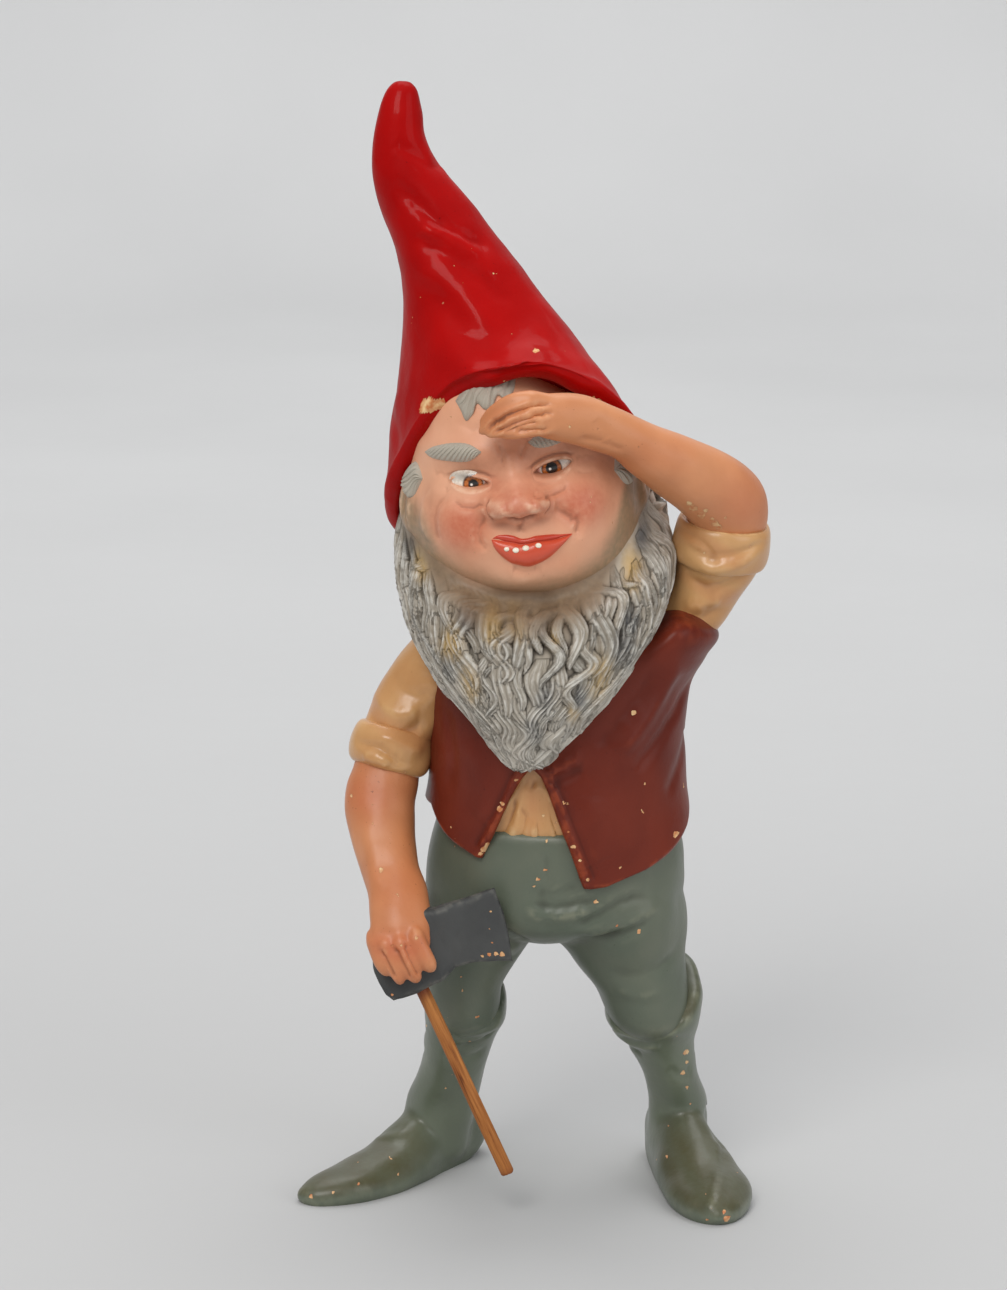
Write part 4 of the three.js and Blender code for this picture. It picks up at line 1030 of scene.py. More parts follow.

# ---- Axe handle --------------------------------------------------------------------------------------------
# A plain wooden dowel pushed into the socket under the axe head. It was whittled at the top, and carries
# brown glue and stain where it meets the clay.

below_socket, in_socket = 74.8, 13.2
handle_foot = in_axe(0, -below_socket)
handle_top = in_axe(0, in_socket)
handle_radius = 2.5
bpy.ops.object.select_all(action="DESELECT")
bpy.ops.mesh.primitive_cylinder_add(
    vertices=40, radius=handle_radius * mm, depth=float(np.linalg.norm(handle_top - handle_foot)) * mm,
    location=Vector(((handle_foot + handle_top) / 2 + axis_foot) * mm), rotation=(0, -lean, 0),
)
handle = bpy.context.object
handle.name = "axe_handle_dowel"
bpy.ops.object.mode_set(mode="EDIT")
bpy.ops.mesh.select_all(action="SELECT")
bpy.ops.mesh.bevel(offset=0.35 * mm, segments=2, affect="EDGES")
bpy.ops.object.mode_set(mode="OBJECT")
bpy.ops.object.transform_apply(location=True, rotation=True, scale=True)
handle.modifiers.new("facets", "SUBSURF")
handle.modifiers["facets"].subdivision_type = "SIMPLE"
handle.modifiers["facets"].levels = handle.modifiers["facets"].render_levels = 1
select_only(handle)
bpy.ops.object.modifier_apply(modifier="facets")
remesh = handle.modifiers.new("whittled", "REMESH")
remesh.mode = "VOXEL"
remesh.voxel_size = 0.45 * mm
bpy.ops.object.modifier_apply(modifier="whittled")
dowel = Cast(handle)
along = (dowel.points - socket_mouth) @ to_handle
around = np.arctan2(dowel.points[:, 1] - socket_mouth[1], (dowel.points - socket_mouth) @ to_edge)
cut_marks = 0.09 * np.sin(3 * around + 0.05 * along) + 0.05 * np.sin(7 * around - 0.09 * along + 2)
dowel.points += dowel.normals * (cut_marks - 0.1 - 0.25 * (np.abs(along - below_socket) < 0.8))[:, None]
dowel.renew()
dowel.mark("stain", smooth_step(5 - along, 0, 5) * 0.9 + 0.5 * smooth_step(along, 71, below_socket))
wood = Recipe("handle_wood", Specular_IOR_Level=0.4)
turned = wood.add("Mapping", {"Vector": wood.place, "Rotation": (0, lean, 0)}).outputs[0]
stretched = wood.add("Mapping", {"Vector": turned, "Scale": (900, 900, 45)}).outputs[0]
fibre_noise = {"Vector": stretched, "Scale": 1.0, "Detail": 5.0, "Roughness": 0.65}
fibre = wood.add("TexNoise", fibre_noise).outputs["Fac"]
slow = wood.add("Mapping", {"Vector": turned, "Scale": (260, 260, 16)}).outputs[0]
ring_band = wood.add("TexNoise", {"Vector": slow, "Scale": 1.0, "Detail": 2.0}).outputs["Fac"]
beech = wood.mix(wood.span(fibre, 0.32, 0.68), shade_of(196, 128, 62), shade_of(132, 72, 26))
beech = wood.mix(wood.span(ring_band, 0.4, 0.66, 0.0, 0.7), beech, shade_of(150, 84, 30))
pores = wood.span(fibre, 0.62, 0.72, 0.0, 0.75)
beech = wood.mix(pores, beech, shade_of(84, 42, 16))
beech = wood.mix(wood.value("stain"), beech, shade_of(120, 52, 18))
handle.data.materials.append(
    wood.done(beech, wood.span(fibre, 0.3, 0.7, 0.5, 0.72), wood.bump(fibre, 0.00035))
)
select_only(handle)
bpy.ops.object.shade_smooth()
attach(handle, "axe_handle")
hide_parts("axe_handle")

# ---- Head --------------------------------------------------------------------------------------------------
# The head was pressed in a two-part mould and sharpened with a modelling tool while wet: heavy cheeks, a
# broad nose, pouched eyes. It is painted flesh pink, airbrushed red on the cheeks and brown towards the hair,
# with painted shade in the eye sockets, beside the nose and under the hand.

head_rows = [
    (0, 1.9, 207, 14.9, 16.3),
    (-0.9, 0.6, 215, 20.8, 22.4),
    (-2.9, -3.7, 223.6, 29.9, 32.7),
    (-4.2, -8.4, 233, 37.4, 40),
    (-5, -8.9, 245.5, 41.1, 43),
    (-5, -8, 259, 41.5, 42.6),
    (-5.8, -7.1, 271.5, 40.3, 41.3),
    (-9.2, -6.3, 282, 36.1, 39.1),
    (-15, -5.4, 292.3, 29.5, 36.1),
    (-18.7, -4.1, 300.6, 23.7, 30.5),
    (-20.8, -2.8, 308, 15.4, 20.2),
    (-21.2, -2.4, 311, 6.2, 8.6),
]
face_columns = np.linspace(0, 2 * math.pi, 380, endpoint=False)
face_angles = -math.pi / 2 + face_columns - 0.66 * np.sin(face_columns)
head = Cast(closed_skin("head_cast", standing(head_rows, steps=21, angles=face_angles)))
face_tilt = 9

# Brow, sockets, cheeks and jaw
head.press((-27, 277), (14, 4.6), 2.0, tilt=2)
head.press((7, 282), (13, 4.6), 2.0, tilt=14)
head.press((-23, 268), (10, 5.4), -2.9, tilt=4, forward=0.5)
head.press((5, 272.4), (10, 5.4), -2.9, tilt=14, forward=0.5)
head.press((-27.5, 253), (12, 10.5), 4.4, forward=0.2)
head.press((16, 259), (11, 10), 4.6, forward=0.2)
head.press((-3, 246), (19, 10), 3.4, forward=0.6)
head.press((-4.6, 233.5), (14, 6.5), 2.2, forward=0.5)
# Nose
head.press((-9.4, 271), (4.6, 8.5), 3.0, tilt=face_tilt, forward=0.8)
head.press((-6.4, 260.6), (11.5, 7), 4.0, tilt=face_tilt, forward=0.9)
head.press((-6.6, 261.4), (7.4, 6.6), 6.6, tilt=face_tilt, power=1.6, forward=0.95)
head.press((-15, 259), (4.5, 4.2), 4.6, tilt=face_tilt, power=1.5, forward=0.8)
head.press((0.8, 261), (4.1, 4.0), 4.4, tilt=face_tilt, power=1.5, forward=0.8)
head.folds([
    ([(-17, 264.6), (-19.8, 260.4), (-18.8, 256), (-15, 254)], 1.0, -1.1),
    ([(3, 266.2), (5.8, 262.6), (5.2, 258.6), (1.8, 256)], 1.0, -1.0),
    ([(-12.8, 263.4), (-12, 260.2), (-12.8, 257.4)], 0.9, -0.6),
    ([(-1.2, 265), (-1, 261.6), (-0.4, 258.8)], 0.9, -0.5),
    ([(-13.6, 255.6), (-9.4, 254.8), (-6.2, 254), (-2.4, 255.4), (1.6, 257)], 1.0, -1.3),
    ([(-5.6, 253), (-5.4, 250.4)], 1.3, -0.7),
    ([(-18.4, 257), (-21.6, 252.6), (-21.4, 247), (-18.4, 243)], 1.6, -1.3),
    ([(6.6, 260), (11.6, 256.8), (14.8, 252.4), (14.6, 247.4)], 1.6, -1.5),
    ([(-31.5, 264), (-36.2, 258.4), (-37.4, 250), (-35, 243)], 2.2, -1.1),
    ([(-34, 266.6), (-39.6, 260), (-41, 251), (-38.4, 243)], 2.2, 0.6),
    ([(-30.6, 263.8), (-33.6, 264.6), (-37, 264.2)], 1.2, -0.4),
    ([(-30.6, 266.8), (-34, 268.4), (-38, 269.4)], 1.2, -0.4),
    ([(12.6, 275), (17, 276), (21, 275.4)], 1.2, -0.4),
    ([(12.6, 271.8), (17, 270.8), (21, 271)], 1.2, -0.4),
    ([(-30.4, 262.2), (-24.4, 259.6), (-17.6, 262.2)], 1.0, -0.8),
    ([(-2.4, 266), (4.6, 264.6), (12, 268.4)], 1.0, -0.8),
    ([(-31, 286.4), (-22, 285.6), (-13, 287)], 1.6, -0.5),
    ([(-14.6, 273), (-13.6, 278), (-15, 282)], 1.0, -0.7),
    ([(-4.6, 275), (-4.2, 280), (-3, 284)], 1.0, -0.7),
    ([(-10, 237.4), (-4.6, 235.6), (2, 237.2)], 2.4, -0.9),
])


def eye_place(cast, centre, tilt):
    """Across and up in the eye's own frame for each point."""
    t = math.radians(tilt)
    across, up = cast.points[:, 0] - centre[0], cast.points[:, 2] - centre[1]
    return across * math.cos(t) + up * math.sin(t), up * math.cos(t) - across * math.sin(t)


# Each eye's middle, tilt, lid rise and lid drop
eyes = {"right": ((-23.3, 266.4), 2.0, 1.3, 2.2), "left": ((4.8, 271.8), 14.0, 1.8, 2.8)}
eye_half = 6.8
liner = np.zeros(len(head.points))
eye_fronts = {}
in_front = head.points[:, 1] < -20
for side, (centre, tilt, lid_up, lid_down) in eyes.items():
    eye_fronts[side] = head.find([centre])[0, 1]
    a, b = eye_place(head, centre, tilt)
    outer = 1 if side == "left" else -1
    bend = np.clip(1 - (a / eye_half) ** 2, 0, 1)
    top = lid_up * bend**0.72 * (1 + 0.16 * outer * a / eye_half)
    foot_line = -lid_down * bend**0.85
    inside = np.minimum(top - b, b - foot_line) - 4 * np.maximum(np.abs(a) - eye_half, 0)
    near = in_front & (np.abs(a) < 14) & (np.abs(b) < 12)
    move = -3.2 * smooth_step(inside, -0.1, 0.8) + 0.8 * np.exp(-(((inside + 0.7) / 0.65) ** 2))
    move -= 0.8 * np.exp(-(((b - top - 2.3) / 0.6) ** 2)) * smooth_step(10 - np.abs(a), 0, 4)
    head.points[:, 1] -= np.where(near, move, 0)
    line = np.exp(-(((b - top - 0.1) / 0.55) ** 2)) * smooth_step(eye_half + 1.2 - np.abs(a), 0, 1.5)
    liner = np.maximum(liner, np.where(near, line * (0.6 + 0.4 * smooth_step(outer * a, -2, 6)), 0))
head.renew()
# The ears show as small lobes in front of the hair.
for azimuth, across, up in ((-62, -2.5, 255), (66, 3.5, 262)):
    head.press((across, up), (6, 9), 3.6, azimuth, power=1.6)
    head.press((across, up + 1), (3, 5.6), -2.4, azimuth, power=1.4)
head.uneven(13, 0.14, 51)
head.relax(1, 0.4)
head.hollows(12, 0.8)
# Each dab's strength, centre and size, then its azimuth, tilt and power where they aren't plain
head.mark("blush", head.dabs([
    (1.0, (-26.6, 251.6), (10, 9), 0, 0, 1.3),
    (1.0, (15.6, 259.4), (9, 8.6), 0, 0, 1.3),
    (1.0, (-6.4, 261.4), (13, 8)),
    (0.3, (-43, 254), (8, 9), -40),
    (0.25, (-16, 268), (4, 3)),
    (0.22, (-3, 240), (14, 5)),
    (0.25, (-9, 278), (24, 6)),
]))
# The shade mark: the painted lid liner, and brown that is partly the figure's airbrush and partly painted shade,
# in the sockets under the brows, beside and under the nose, at the temple and the cheek's edge, and where the
# hand's shadow falls between the brows.
head.mark("shade", 0.8 * liner + head.dabs([
    (0.65, (-9, 277), (11, 3.4), 0, 8),
    (0.05, (-7, 262), (14, 10)),
    (0.55, (-23, 271.6), (10, 2.6), 0, 4),
    (0.55, (6, 276.6), (10, 2.6), 0, 14),
    (0.4, (-16, 257.6), (5, 3.4)),
    (0.4, (4, 259.4), (5, 3.4)),
    (0.5, (24, 272), (7, 12)),
    (0.35, (-37, 258), (3, 10)),
    (0.3, (-9, 255), (9, 2)),
]))
hairline_x = np.array([-50, -44, -39, -34, -23.6, -6.3, 11, 21.3, 26.6, 29.4, 31.4, 44])
hairline_z = np.array([262, 254, 246.5, 236.6, 229.6, 226.6, 229.4, 236.4, 246, 257, 268, 276])
x, y, z = head.points.T
under = np.interp(x, hairline_x, hairline_z) - z
head.mark("fade", np.where(y < 0, smooth_step(under, -12.0, 2.5), 1))
head.chips([(-22, 243, 0.3), (18, 262, 0.25), (-30, 288, 0.3)])
head.finish(flesh, "flesh", "head")
skin = BVHTree.FromObject(head.made, bpy.context.evaluated_depsgraph_get())


def on_face(x, z, azimuth=0):
    """The place on the head's skin under a viewer's line of sight, in millimetres."""
    a = math.radians(azimuth)
    start = np.array([x * math.cos(a) + 90 * math.sin(a), x * math.sin(a) - 90 * math.cos(a), z]) + axis_foot
    way = Vector((-math.sin(a), math.cos(a), 0))
    hit = skin.ray_cast(Vector(start * mm), way)[0]
    return np.array(hit) / mm - axis_foot if hit else None


# ---- Eyes --------------------------------------------------------------------------------------------------
# Each eye is a flattened ball of clay set behind the lids. The white, the amber iris, the pupil and the pink
# corner were painted with a fine brush, and varnished. The dot of light on the iris is a painted highlight.

for side, (centre, tilt, lid_up, lid_down) in eyes.items():
    t = math.radians(tilt)
    bpy.ops.object.select_all(action="DESELECT")
    bpy.ops.mesh.primitive_uv_sphere_add(
        segments=64, ring_count=40, radius=mm,
        location=Vector((np.array([centre[0], eye_fronts[side] + 4.9, centre[1]]) + axis_foot) * mm),
    )
    ball = bpy.context.object
    ball.name = side + "_eyeball"
    ball.scale = (8.0, 3.6, 4.6)
    ball.rotation_euler = (0, -t, math.radians(-16 if side == "right" else 12))
    bpy.ops.object.transform_apply(location=True, rotation=True, scale=True)
    bpy.ops.object.mode_set(mode="EDIT")
    bpy.ops.mesh.select_all(action="SELECT")
    bpy.ops.mesh.normals_make_consistent(inside=False)
    bpy.ops.object.mode_set(mode="OBJECT")
    bpy.ops.object.shade_smooth()
    iris_across, iris_up, pupil = (0.9, -0.9, 1.75) if side == "right" else (-0.4, -0.5, 2.1)
    inner_corner = (6.2 if side == "right" else -6.0, 0.0)

    def eye_spot(recipe, across, up, radius, soft, wide=1.0):
        """1 inside a round spot of the eye's surface, fading over the soft width."""
        x = centre[0] + across * math.cos(t) - up * math.sin(t) + axis_foot[0]
        z = centre[1] + across * math.sin(t) + up * math.cos(t)
        middle = (x * mm, 0, z * mm)
        away = recipe.add("VectorMath", {0: recipe.place, 1: middle}, operation="SUBTRACT").outputs[0]
        flat = recipe.add("VectorMath", {0: away, 1: (1 / wide, 0, 1)}, operation="MULTIPLY").outputs[0]
        distance = recipe.add("VectorMath", {0: flat}, operation="LENGTH").outputs["Value"]
        return recipe.span(distance, (radius + soft) * mm, (radius - soft) * mm)

    paint = Recipe(side + "_eye_paint", Coat_Weight=0.8, Coat_Roughness=0.06)
    white = paint.mix(paint.span(paint.grain(700), 0.4, 0.7), shade_of(238, 230, 216), shade_of(214, 200, 184))
    white = paint.mix(eye_spot(paint, *inner_corner, 1.3, 0.7), white, shade_of(214, 112, 96))
    ring = paint.mix(paint.span(paint.grain(1500), 0.35, 0.65), shade_of(206, 116, 30), shade_of(138, 66, 16))
    white = paint.mix(eye_spot(paint, iris_across, iris_up, 3.6, 0.25), white, shade_of(60, 30, 14))
    white = paint.mix(eye_spot(paint, iris_across, iris_up - 0.1, 3.2, 0.3), white, ring)
    white = paint.mix(eye_spot(paint, iris_across, iris_up + 0.2, pupil, 0.25), white, shade_of(14, 12, 12))
    # A painted highlight: a white dot of light on the iris.
    white = paint.mix(eye_spot(paint, iris_across - 0.6, iris_up, 0.42, 0.16), white, shade_of(250, 248, 240))
    shadow = paint.span(eye_spot(paint, 0, lid_up + 0.5, 1.2, 0.8, wide=5), 0, 1, 0, 0.6)
    white = paint.mix(shadow, white, shade_of(70, 52, 44))
    varnish = paint.span(paint.grain(400), 0.3, 0.7, 0.22, 0.34)
    ball.data.materials.append(paint.done(white, varnish, paint.bump(paint.grain(500), 0.00005)))
    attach(ball, "figure")
    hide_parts(side + "_eye")

# ---- Mouth and teeth ---------------------------------------------------------------------------------------
# The lips are a raised open smile painted orange-red. Four small beads of clay stand in the parting of the
# lips as teeth, and are touched with white.


def raised_patch(name, top, foot, height, columns=170, rows=70, azimuth=0, sink=0.6):
    """A raised piece on the face between an upper and a lower outline; height takes shares across and down."""
    top_line, foot_line = (curved([list(p) for p in line], 24) for line in (top, foot))
    share = np.linspace(0, 1, columns)

    def even(line):
        along = np.concatenate([[0], np.cumsum(np.linalg.norm(np.diff(line, axis=0), axis=1))])
        return np.stack([np.interp(share * along[-1], along, line[:, k]) for k in (0, 1)], 1)

    upper, lower = even(top_line), even(foot_line)
    a = math.radians(azimuth)
    viewer = np.array([math.sin(a), -math.cos(a), 0])
    outside = np.zeros((rows, columns, 3))
    for r, down in enumerate(np.linspace(0, 1, rows)):
        for c in range(columns):
            across, up = upper[c] * (1 - down) + lower[c] * down
            outside[r, c] = on_face(across, up, azimuth)
    s, d = np.meshgrid(share, np.linspace(0, 1, rows))
    level = height(s, d)
    return shell(name, outside + viewer * (level - sink)[:, :, None], outside - viewer * (sink + 1.4)), outside


lip_top = [
    (-16.2, 248.4), (-14.3, 249.9), (-12.1, 250.3), (-8.6, 249.9), (-5.8, 249.1), (-2.9, 249.4), (-0.7, 249.9),
    (6.2, 250.2), (11.6, 250),
]
lip_foot = [
    (-16.2, 248.4), (-15.2, 245.5), (-12.6, 242.2), (-8.6, 239.7), (-4.1, 238.8), (-0.7, 239.6), (3.9, 242.2),
    (7.9, 245.8), (11.6, 250),
]
# Each tooth's place across and up, and its radius
teeth = [(-10.9, 245.5, 0.85), (-7.8, 245.2, 1.05), (-4.4, 245.9, 1.1), (-0.1, 246.8, 1.0)]


def parting(s):
    """How far down the lips part."""
    return 0.27 + 0.08 * np.cos(2 * math.pi * s)


def lips(s, d):
    ends = np.sqrt(np.clip(1 - np.abs(2 * s - 1) ** 2.2, 0, 1))
    upper = np.sqrt(np.clip(1 - ((d / parting(s)) * 2 - 1) ** 2, 0, 1)) * 1.3
    lower = np.sqrt(np.clip(1 - (((d - parting(s)) / (1 - parting(s))) * 2 - 1) ** 2, 0, 1)) * 2.8
    return 0.25 + ends * np.where(d < parting(s), upper, lower)


mouth, mouth_grid = raised_patch("lips_cast", lip_top, lip_foot, lips)
mouth = Cast(mouth)
mouth.relax(3)
mouth.uneven(6, 0.08, 61)
mouth.hollows(6, 0.8)
s, d = np.meshgrid(np.linspace(0, 1, mouth_grid.shape[1]), np.linspace(0, 1, mouth_grid.shape[0]))
upper_lip = np.zeros(len(mouth.points))
upper_lip[: s.size] = smooth_step(parting(s) + 0.04 - d, 0, 0.08).ravel()
mouth.mark("upper", upper_lip)
lip_red = painted_clay(
    "lip_red", (214, 88, 58), (202, 74, 46), (126, 28, 18), (230, 120, 86),
    rough=0.34, tints=[("upper", (186, 52, 32), 0.8)], specks=0.15, Coat_Weight=0.25, Coat_Roughness=0.25,
)
mouth.finish(lip_red, "lip_red", "mouth")
lip_skin = BVHTree.FromObject(mouth.made, bpy.context.evaluated_depsgraph_get())
tooth_paint = Recipe("tooth_paint", Coat_Weight=0.3, Coat_Roughness=0.15)
yellowed = tooth_paint.span(tooth_paint.grain(900), 0.4, 0.65)
cream = tooth_paint.mix(yellowed, shade_of(246, 238, 220), shade_of(226, 208, 180))
gloss = tooth_paint.span(tooth_paint.grain(500), 0.3, 0.7, 0.3, 0.45)
tooth_white = tooth_paint.done(cream, gloss, tooth_paint.bump(tooth_paint.grain(800), 0.00008))
for k, (x, z, radius) in enumerate(teeth):
    start = Vector((np.array([x, -100, z]) + axis_foot) * mm)
    front = np.array(lip_skin.ray_cast(start, Vector((0, 1, 0)))[0]) / mm - axis_foot
    bpy.ops.object.select_all(action="DESELECT")
    bpy.ops.mesh.primitive_uv_sphere_add(
        segments=24, ring_count=16, radius=radius * mm, location=Vector((front + axis_foot + [0, 0.1, 0]) * mm)
    )
    tooth = bpy.context.object
    tooth.name = "tooth_bead_%d" % (k + 1)
    tooth.scale = (1.1, 0.8, 0.92)
    bpy.ops.object.transform_apply(location=True, rotation=True, scale=True)
    bpy.ops.object.shade_smooth()
    tooth.data.materials.append(tooth_white)
    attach(tooth, "figure")
    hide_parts("tooth_%d" % (k + 1))

# ---- Brows, forelock and temple hair -----------------------------------------------------------------------
# Small pads of clay pressed on the skin and scored with a point while wet, then painted grey. The forelock
# is four flat strands that come from under the hat.

hair_grey = painted_clay(
    "hair_grey", (188, 180, 165), (170, 162, 147), (96, 86, 72), (218, 213, 202),
    rough=0.6, specks=0.4, streaks=0.9,
)


def scored(strands, lean_over, thick, rough_seed):
    """The height of a scored pad: strands that slant across it."""
    rng = np.random.default_rng(rough_seed)
    phase = rng.uniform(0, 6.28, 4)

    def height(s, d):
        dome = np.clip(1 - np.abs(2 * s - 1) ** 3, 0, 1) ** 0.5
        dome = dome * np.clip(1 - np.abs(2 * d - 1) ** 2.6, 0, 1) ** 0.5
        wander = 0.25 * np.sin(5 * d + phase[0]) + 0.12 * np.sin(11 * s + phase[1])
        line = (s + lean_over * (d - 0.5)) * strands + wander
        ridges = np.abs(np.sin(math.pi * line)) ** 0.7
        fine = np.abs(np.sin(math.pi * 2.7 * line + phase[2]))
        return dome * thick * (0.55 + 0.45 * ridges + 0.14 * fine)

    return height


# Each pad's name and node, its upper and lower outline, its scoring, and the side that it is seen from
for name, node, top, foot, height, azimuth in [
    (
        "right_brow_pad", "right_eyebrow",
        [(-39.4, 274.8), (-36, 277.6), (-30, 279.6), (-24, 279.8), (-19.4, 277.4)],
        [(-39.4, 274.8), (-36.6, 273.2), (-31, 273), (-24, 273.6), (-19.4, 277.4)],
        scored(13, 0.25, 1.9, 5), 0,
    ),
    (
        "left_brow_pad", "left_eyebrow",
        [(-3.8, 280.6), (-0.6, 283.2), (4, 284.6), (9, 284.6), (13, 283)],
        [(-3.8, 280.6), (-0.6, 278.8), (4, 279), (9, 280.8), (13, 283)],
        scored(11, -0.25, 1.9, 6), 0,
    ),
    (
        "right_temple_pad", "right_temple_hair",
        [(0.4, 263.6), (3, 268.6), (8, 270.4), (13.4, 265.4)],
        [(0.4, 263.6), (3, 259.4), (9, 258.2), (13.4, 265.4)],
        scored(4, 1.2, 2.4, 7), -68,
    ),
    (
        "left_temple_pad", "left_temple_hair",
        [(-21, 269), (-17, 274), (-12, 275), (-8.6, 269)],
        [(-21, 269), (-17, 264), (-12, 263.4), (-8.6, 269)],
        scored(4, -1.2, 2.4, 8), 66,
    ),
    (
        "forelock_pad", "forelock",
        [(-28.6, 293.6), (-25, 298), (-17, 301.6), (-7.6, 302.6)],
        [(-28.6, 293.6), (-26.6, 290.4), (-24.8, 287), (-22.4, 289.6), (-21, 293), (-18.6, 291.2),
         (-15.8, 291.8), (-14, 295.6), (-11.2, 294.4), (-8.4, 297), (-7.6, 302.6)],
        scored(6, 0.3, 2.4, 9), 0,
    ),
]:
    pad, _ = raised_patch(name, top, foot, height, columns=110, rows=60, azimuth=azimuth, sink=0.4)
    pad = Cast(pad)
    pad.relax(1)
    pad.hollows(5, 0.5)
    pad.finish(hair_grey, "hair_grey", node)

# ---- Beard and back hair -----------------------------------------------------------------------------------
# The beard is one thick mass round the jaw. Some two hundred curling locks were dragged into it with a wire
# tool, it was painted grey-brown with ochre and blue-black strokes, and then brushed dry with off-white.

hair_rows = [
    (-3.4, -7.1, 259.5, 43.4, 42.3, -18.4, -10.6),
    (-1.9, -7.8, 247, 47.2, 45.8, -14.4, -9.4),
    (-0.9, -9.8, 232.5, 47.2, 47.2, -8.4, -6.6),
    (-1, -14, 218, 44.4, 46, -4.4, -4.4),
    (-2, -20, 203.6, 37, 40.4, -2.8, -2),
    (-2.6, -26.5, 191, 28.2, 32.4, -1, -1),
    (-3, -31.6, 180.8, 18.8, 24, 0, 0),
    (-3.6, -35.4, 174, 12.2, 16.8, 0, 0),
    (-4.2, -38.2, 169.4, 7.6, 11, 0, 0),
    (-4.6, -39.8, 167.2, 4.6, 7, 0, 0),
]


def hair_mass(from_angle, to_angle, columns, steps):
    """Part of the mass as a grid: rows from the cheeks down, columns from one angle to the other."""
    angle = np.radians(np.linspace(from_angle, to_angle, columns))
    return standing(hair_rows, steps=steps, angles=angle)


def dragged_locks(grid, seed, lengths, widths, height, first_row, row_pitch, lock_pitch):
    """Curling locks drawn down a grid in overlapping rows, the lowest row first.

    Gives how high each point stands, the place across its own lock and along it in millimetres, and a tone.
    """
    rng = np.random.default_rng(seed)
    rows, columns = grid.shape[:2]
    across = np.linalg.norm(np.gradient(grid, axis=1), axis=2)
    depth = np.cumsum(np.linalg.norm(np.gradient(grid, axis=0), axis=2)[:, columns // 2])
    stand, strand, along, tone = (np.zeros((rows, columns)) for _ in range(4))
    roots = []
    for level, top in enumerate(np.arange(depth[first_row], depth[-1] - 6, row_pitch)):
        row = int(np.searchsorted(depth, top))
        girth = np.cumsum(across[row])
        for place in np.arange(lock_pitch * (0.3 + 0.5 * (level % 2)), girth[-1], lock_pitch):
            root_top = top + rng.uniform(-0.45, 0.45) * row_pitch
            roots.append((root_top, place + rng.uniform(-0.3, 0.3) * lock_pitch, row))
    for number, (top, place, row) in enumerate(sorted(roots, reverse=True)):
        girth = np.cumsum(across[row])
        column = float(np.interp(place, girth, np.arange(columns)))
        flow = 0.05 * grid[row, int(column), 0] + 0.1 * top
        length, width = rng.uniform(*lengths), rng.uniform(*widths)
        sway, wave, phase = rng.uniform(0.8, 3.6), rng.uniform(14, 30), flow + rng.uniform(-1.5, 1.5)
        drift, step_height = rng.uniform(-0.2, 0.22), rng.uniform(0, 1.6)
        hairs, lock_tone = rng.integers(3, 6), rng.uniform(0, 1)
        for s in np.linspace(0, 1, int(length / 0.16)):
            r = int(np.searchsorted(depth, top + length * s))
            if not 0 <= r < rows - 1:
                continue
            swing = sway * (math.sin(2 * math.pi * length * s / wave + phase) - math.sin(phase))
            swing += drift * length * s
            pitch = max(across[r, int(np.clip(column, 0, columns - 1))], 0.05)
            middle = column + swing / pitch
            w = width * min(1.0, 0.45 + 2.5 * s) * (1 - s**3.5) ** 0.6
            if w < 0.25 or not 0 <= middle < columns:
                continue
            reach = int(min(w / pitch + 2, 70))
            c1, c2 = max(int(middle) - reach, 0), min(int(middle) + reach + 1, columns)
            aside = (np.arange(c1, c2) - middle) * pitch / w
            dome = np.clip(1 - aside**2, 0, 1) ** 0.42
            comb = 0.84 + 0.16 * np.cos(aside * math.pi * hairs + 0.8 * math.sin(6 * s + phase))
            high = min(1.0, 3.2 * s) ** 0.7 * (height * comb + step_height) * dome * min(1.0, w / width + 0.3)
            wins = high > stand[r, c1:c2]
            stand[r, c1:c2][wins] = high[wins]
            strand[r, c1:c2][wins] = (aside * w + 13.7 * number)[wins]
            along[r, c1:c2][wins] = length * s
            tone[r, c1:c2][wins] = lock_tone
    return stand, strand, along, tone


jaw_middle = (-4.0, -8.0)  # across and deep
beard_thickness = 4.0


def face_under(point):
    """The head's skin straight inwards from a place outside it, or nothing below the jaw."""
    inwards = np.array([*jaw_middle, point[2]]) - point
    inwards /= np.linalg.norm(inwards)
    hit = skin.ray_cast(Vector((point + axis_foot - inwards * 30) * mm), Vector(inwards))[0]
    return None if hit is None else np.array(hit) / mm - axis_foot


def lock_marks(cast, strand, along, tone):
    """Keeps each point's place on its lock, for the brush; the inside and the rim have none."""
    for name, values in (("strand", strand), ("along", along), ("tone", tone)):
        whole = np.zeros(len(cast.points))
        whole[: values.size] = values.ravel()
        layer = cast.made.data.attributes.new(name, "FLOAT", "POINT")
        layer.data.foreach_set("value", whole)


def brushed_spots(cast, spots, seed):
    """Long dabs of a second colour, each across, up and size."""
    rng = np.random.default_rng(seed)
    mark = np.zeros(len(cast.points))
    for across, up, size in spots:
        tilt = rng.uniform(-12, 14)
        dab = cast.spot((across, up), (size * 0.62, size * 1.25), tilt=tilt, power=1.6)
        mark = np.maximum(mark, dab)
    return mark


beard_grid = hair_mass(-198, 18, 350, 25)
beard_rows, beard_columns = beard_grid.shape[:2]
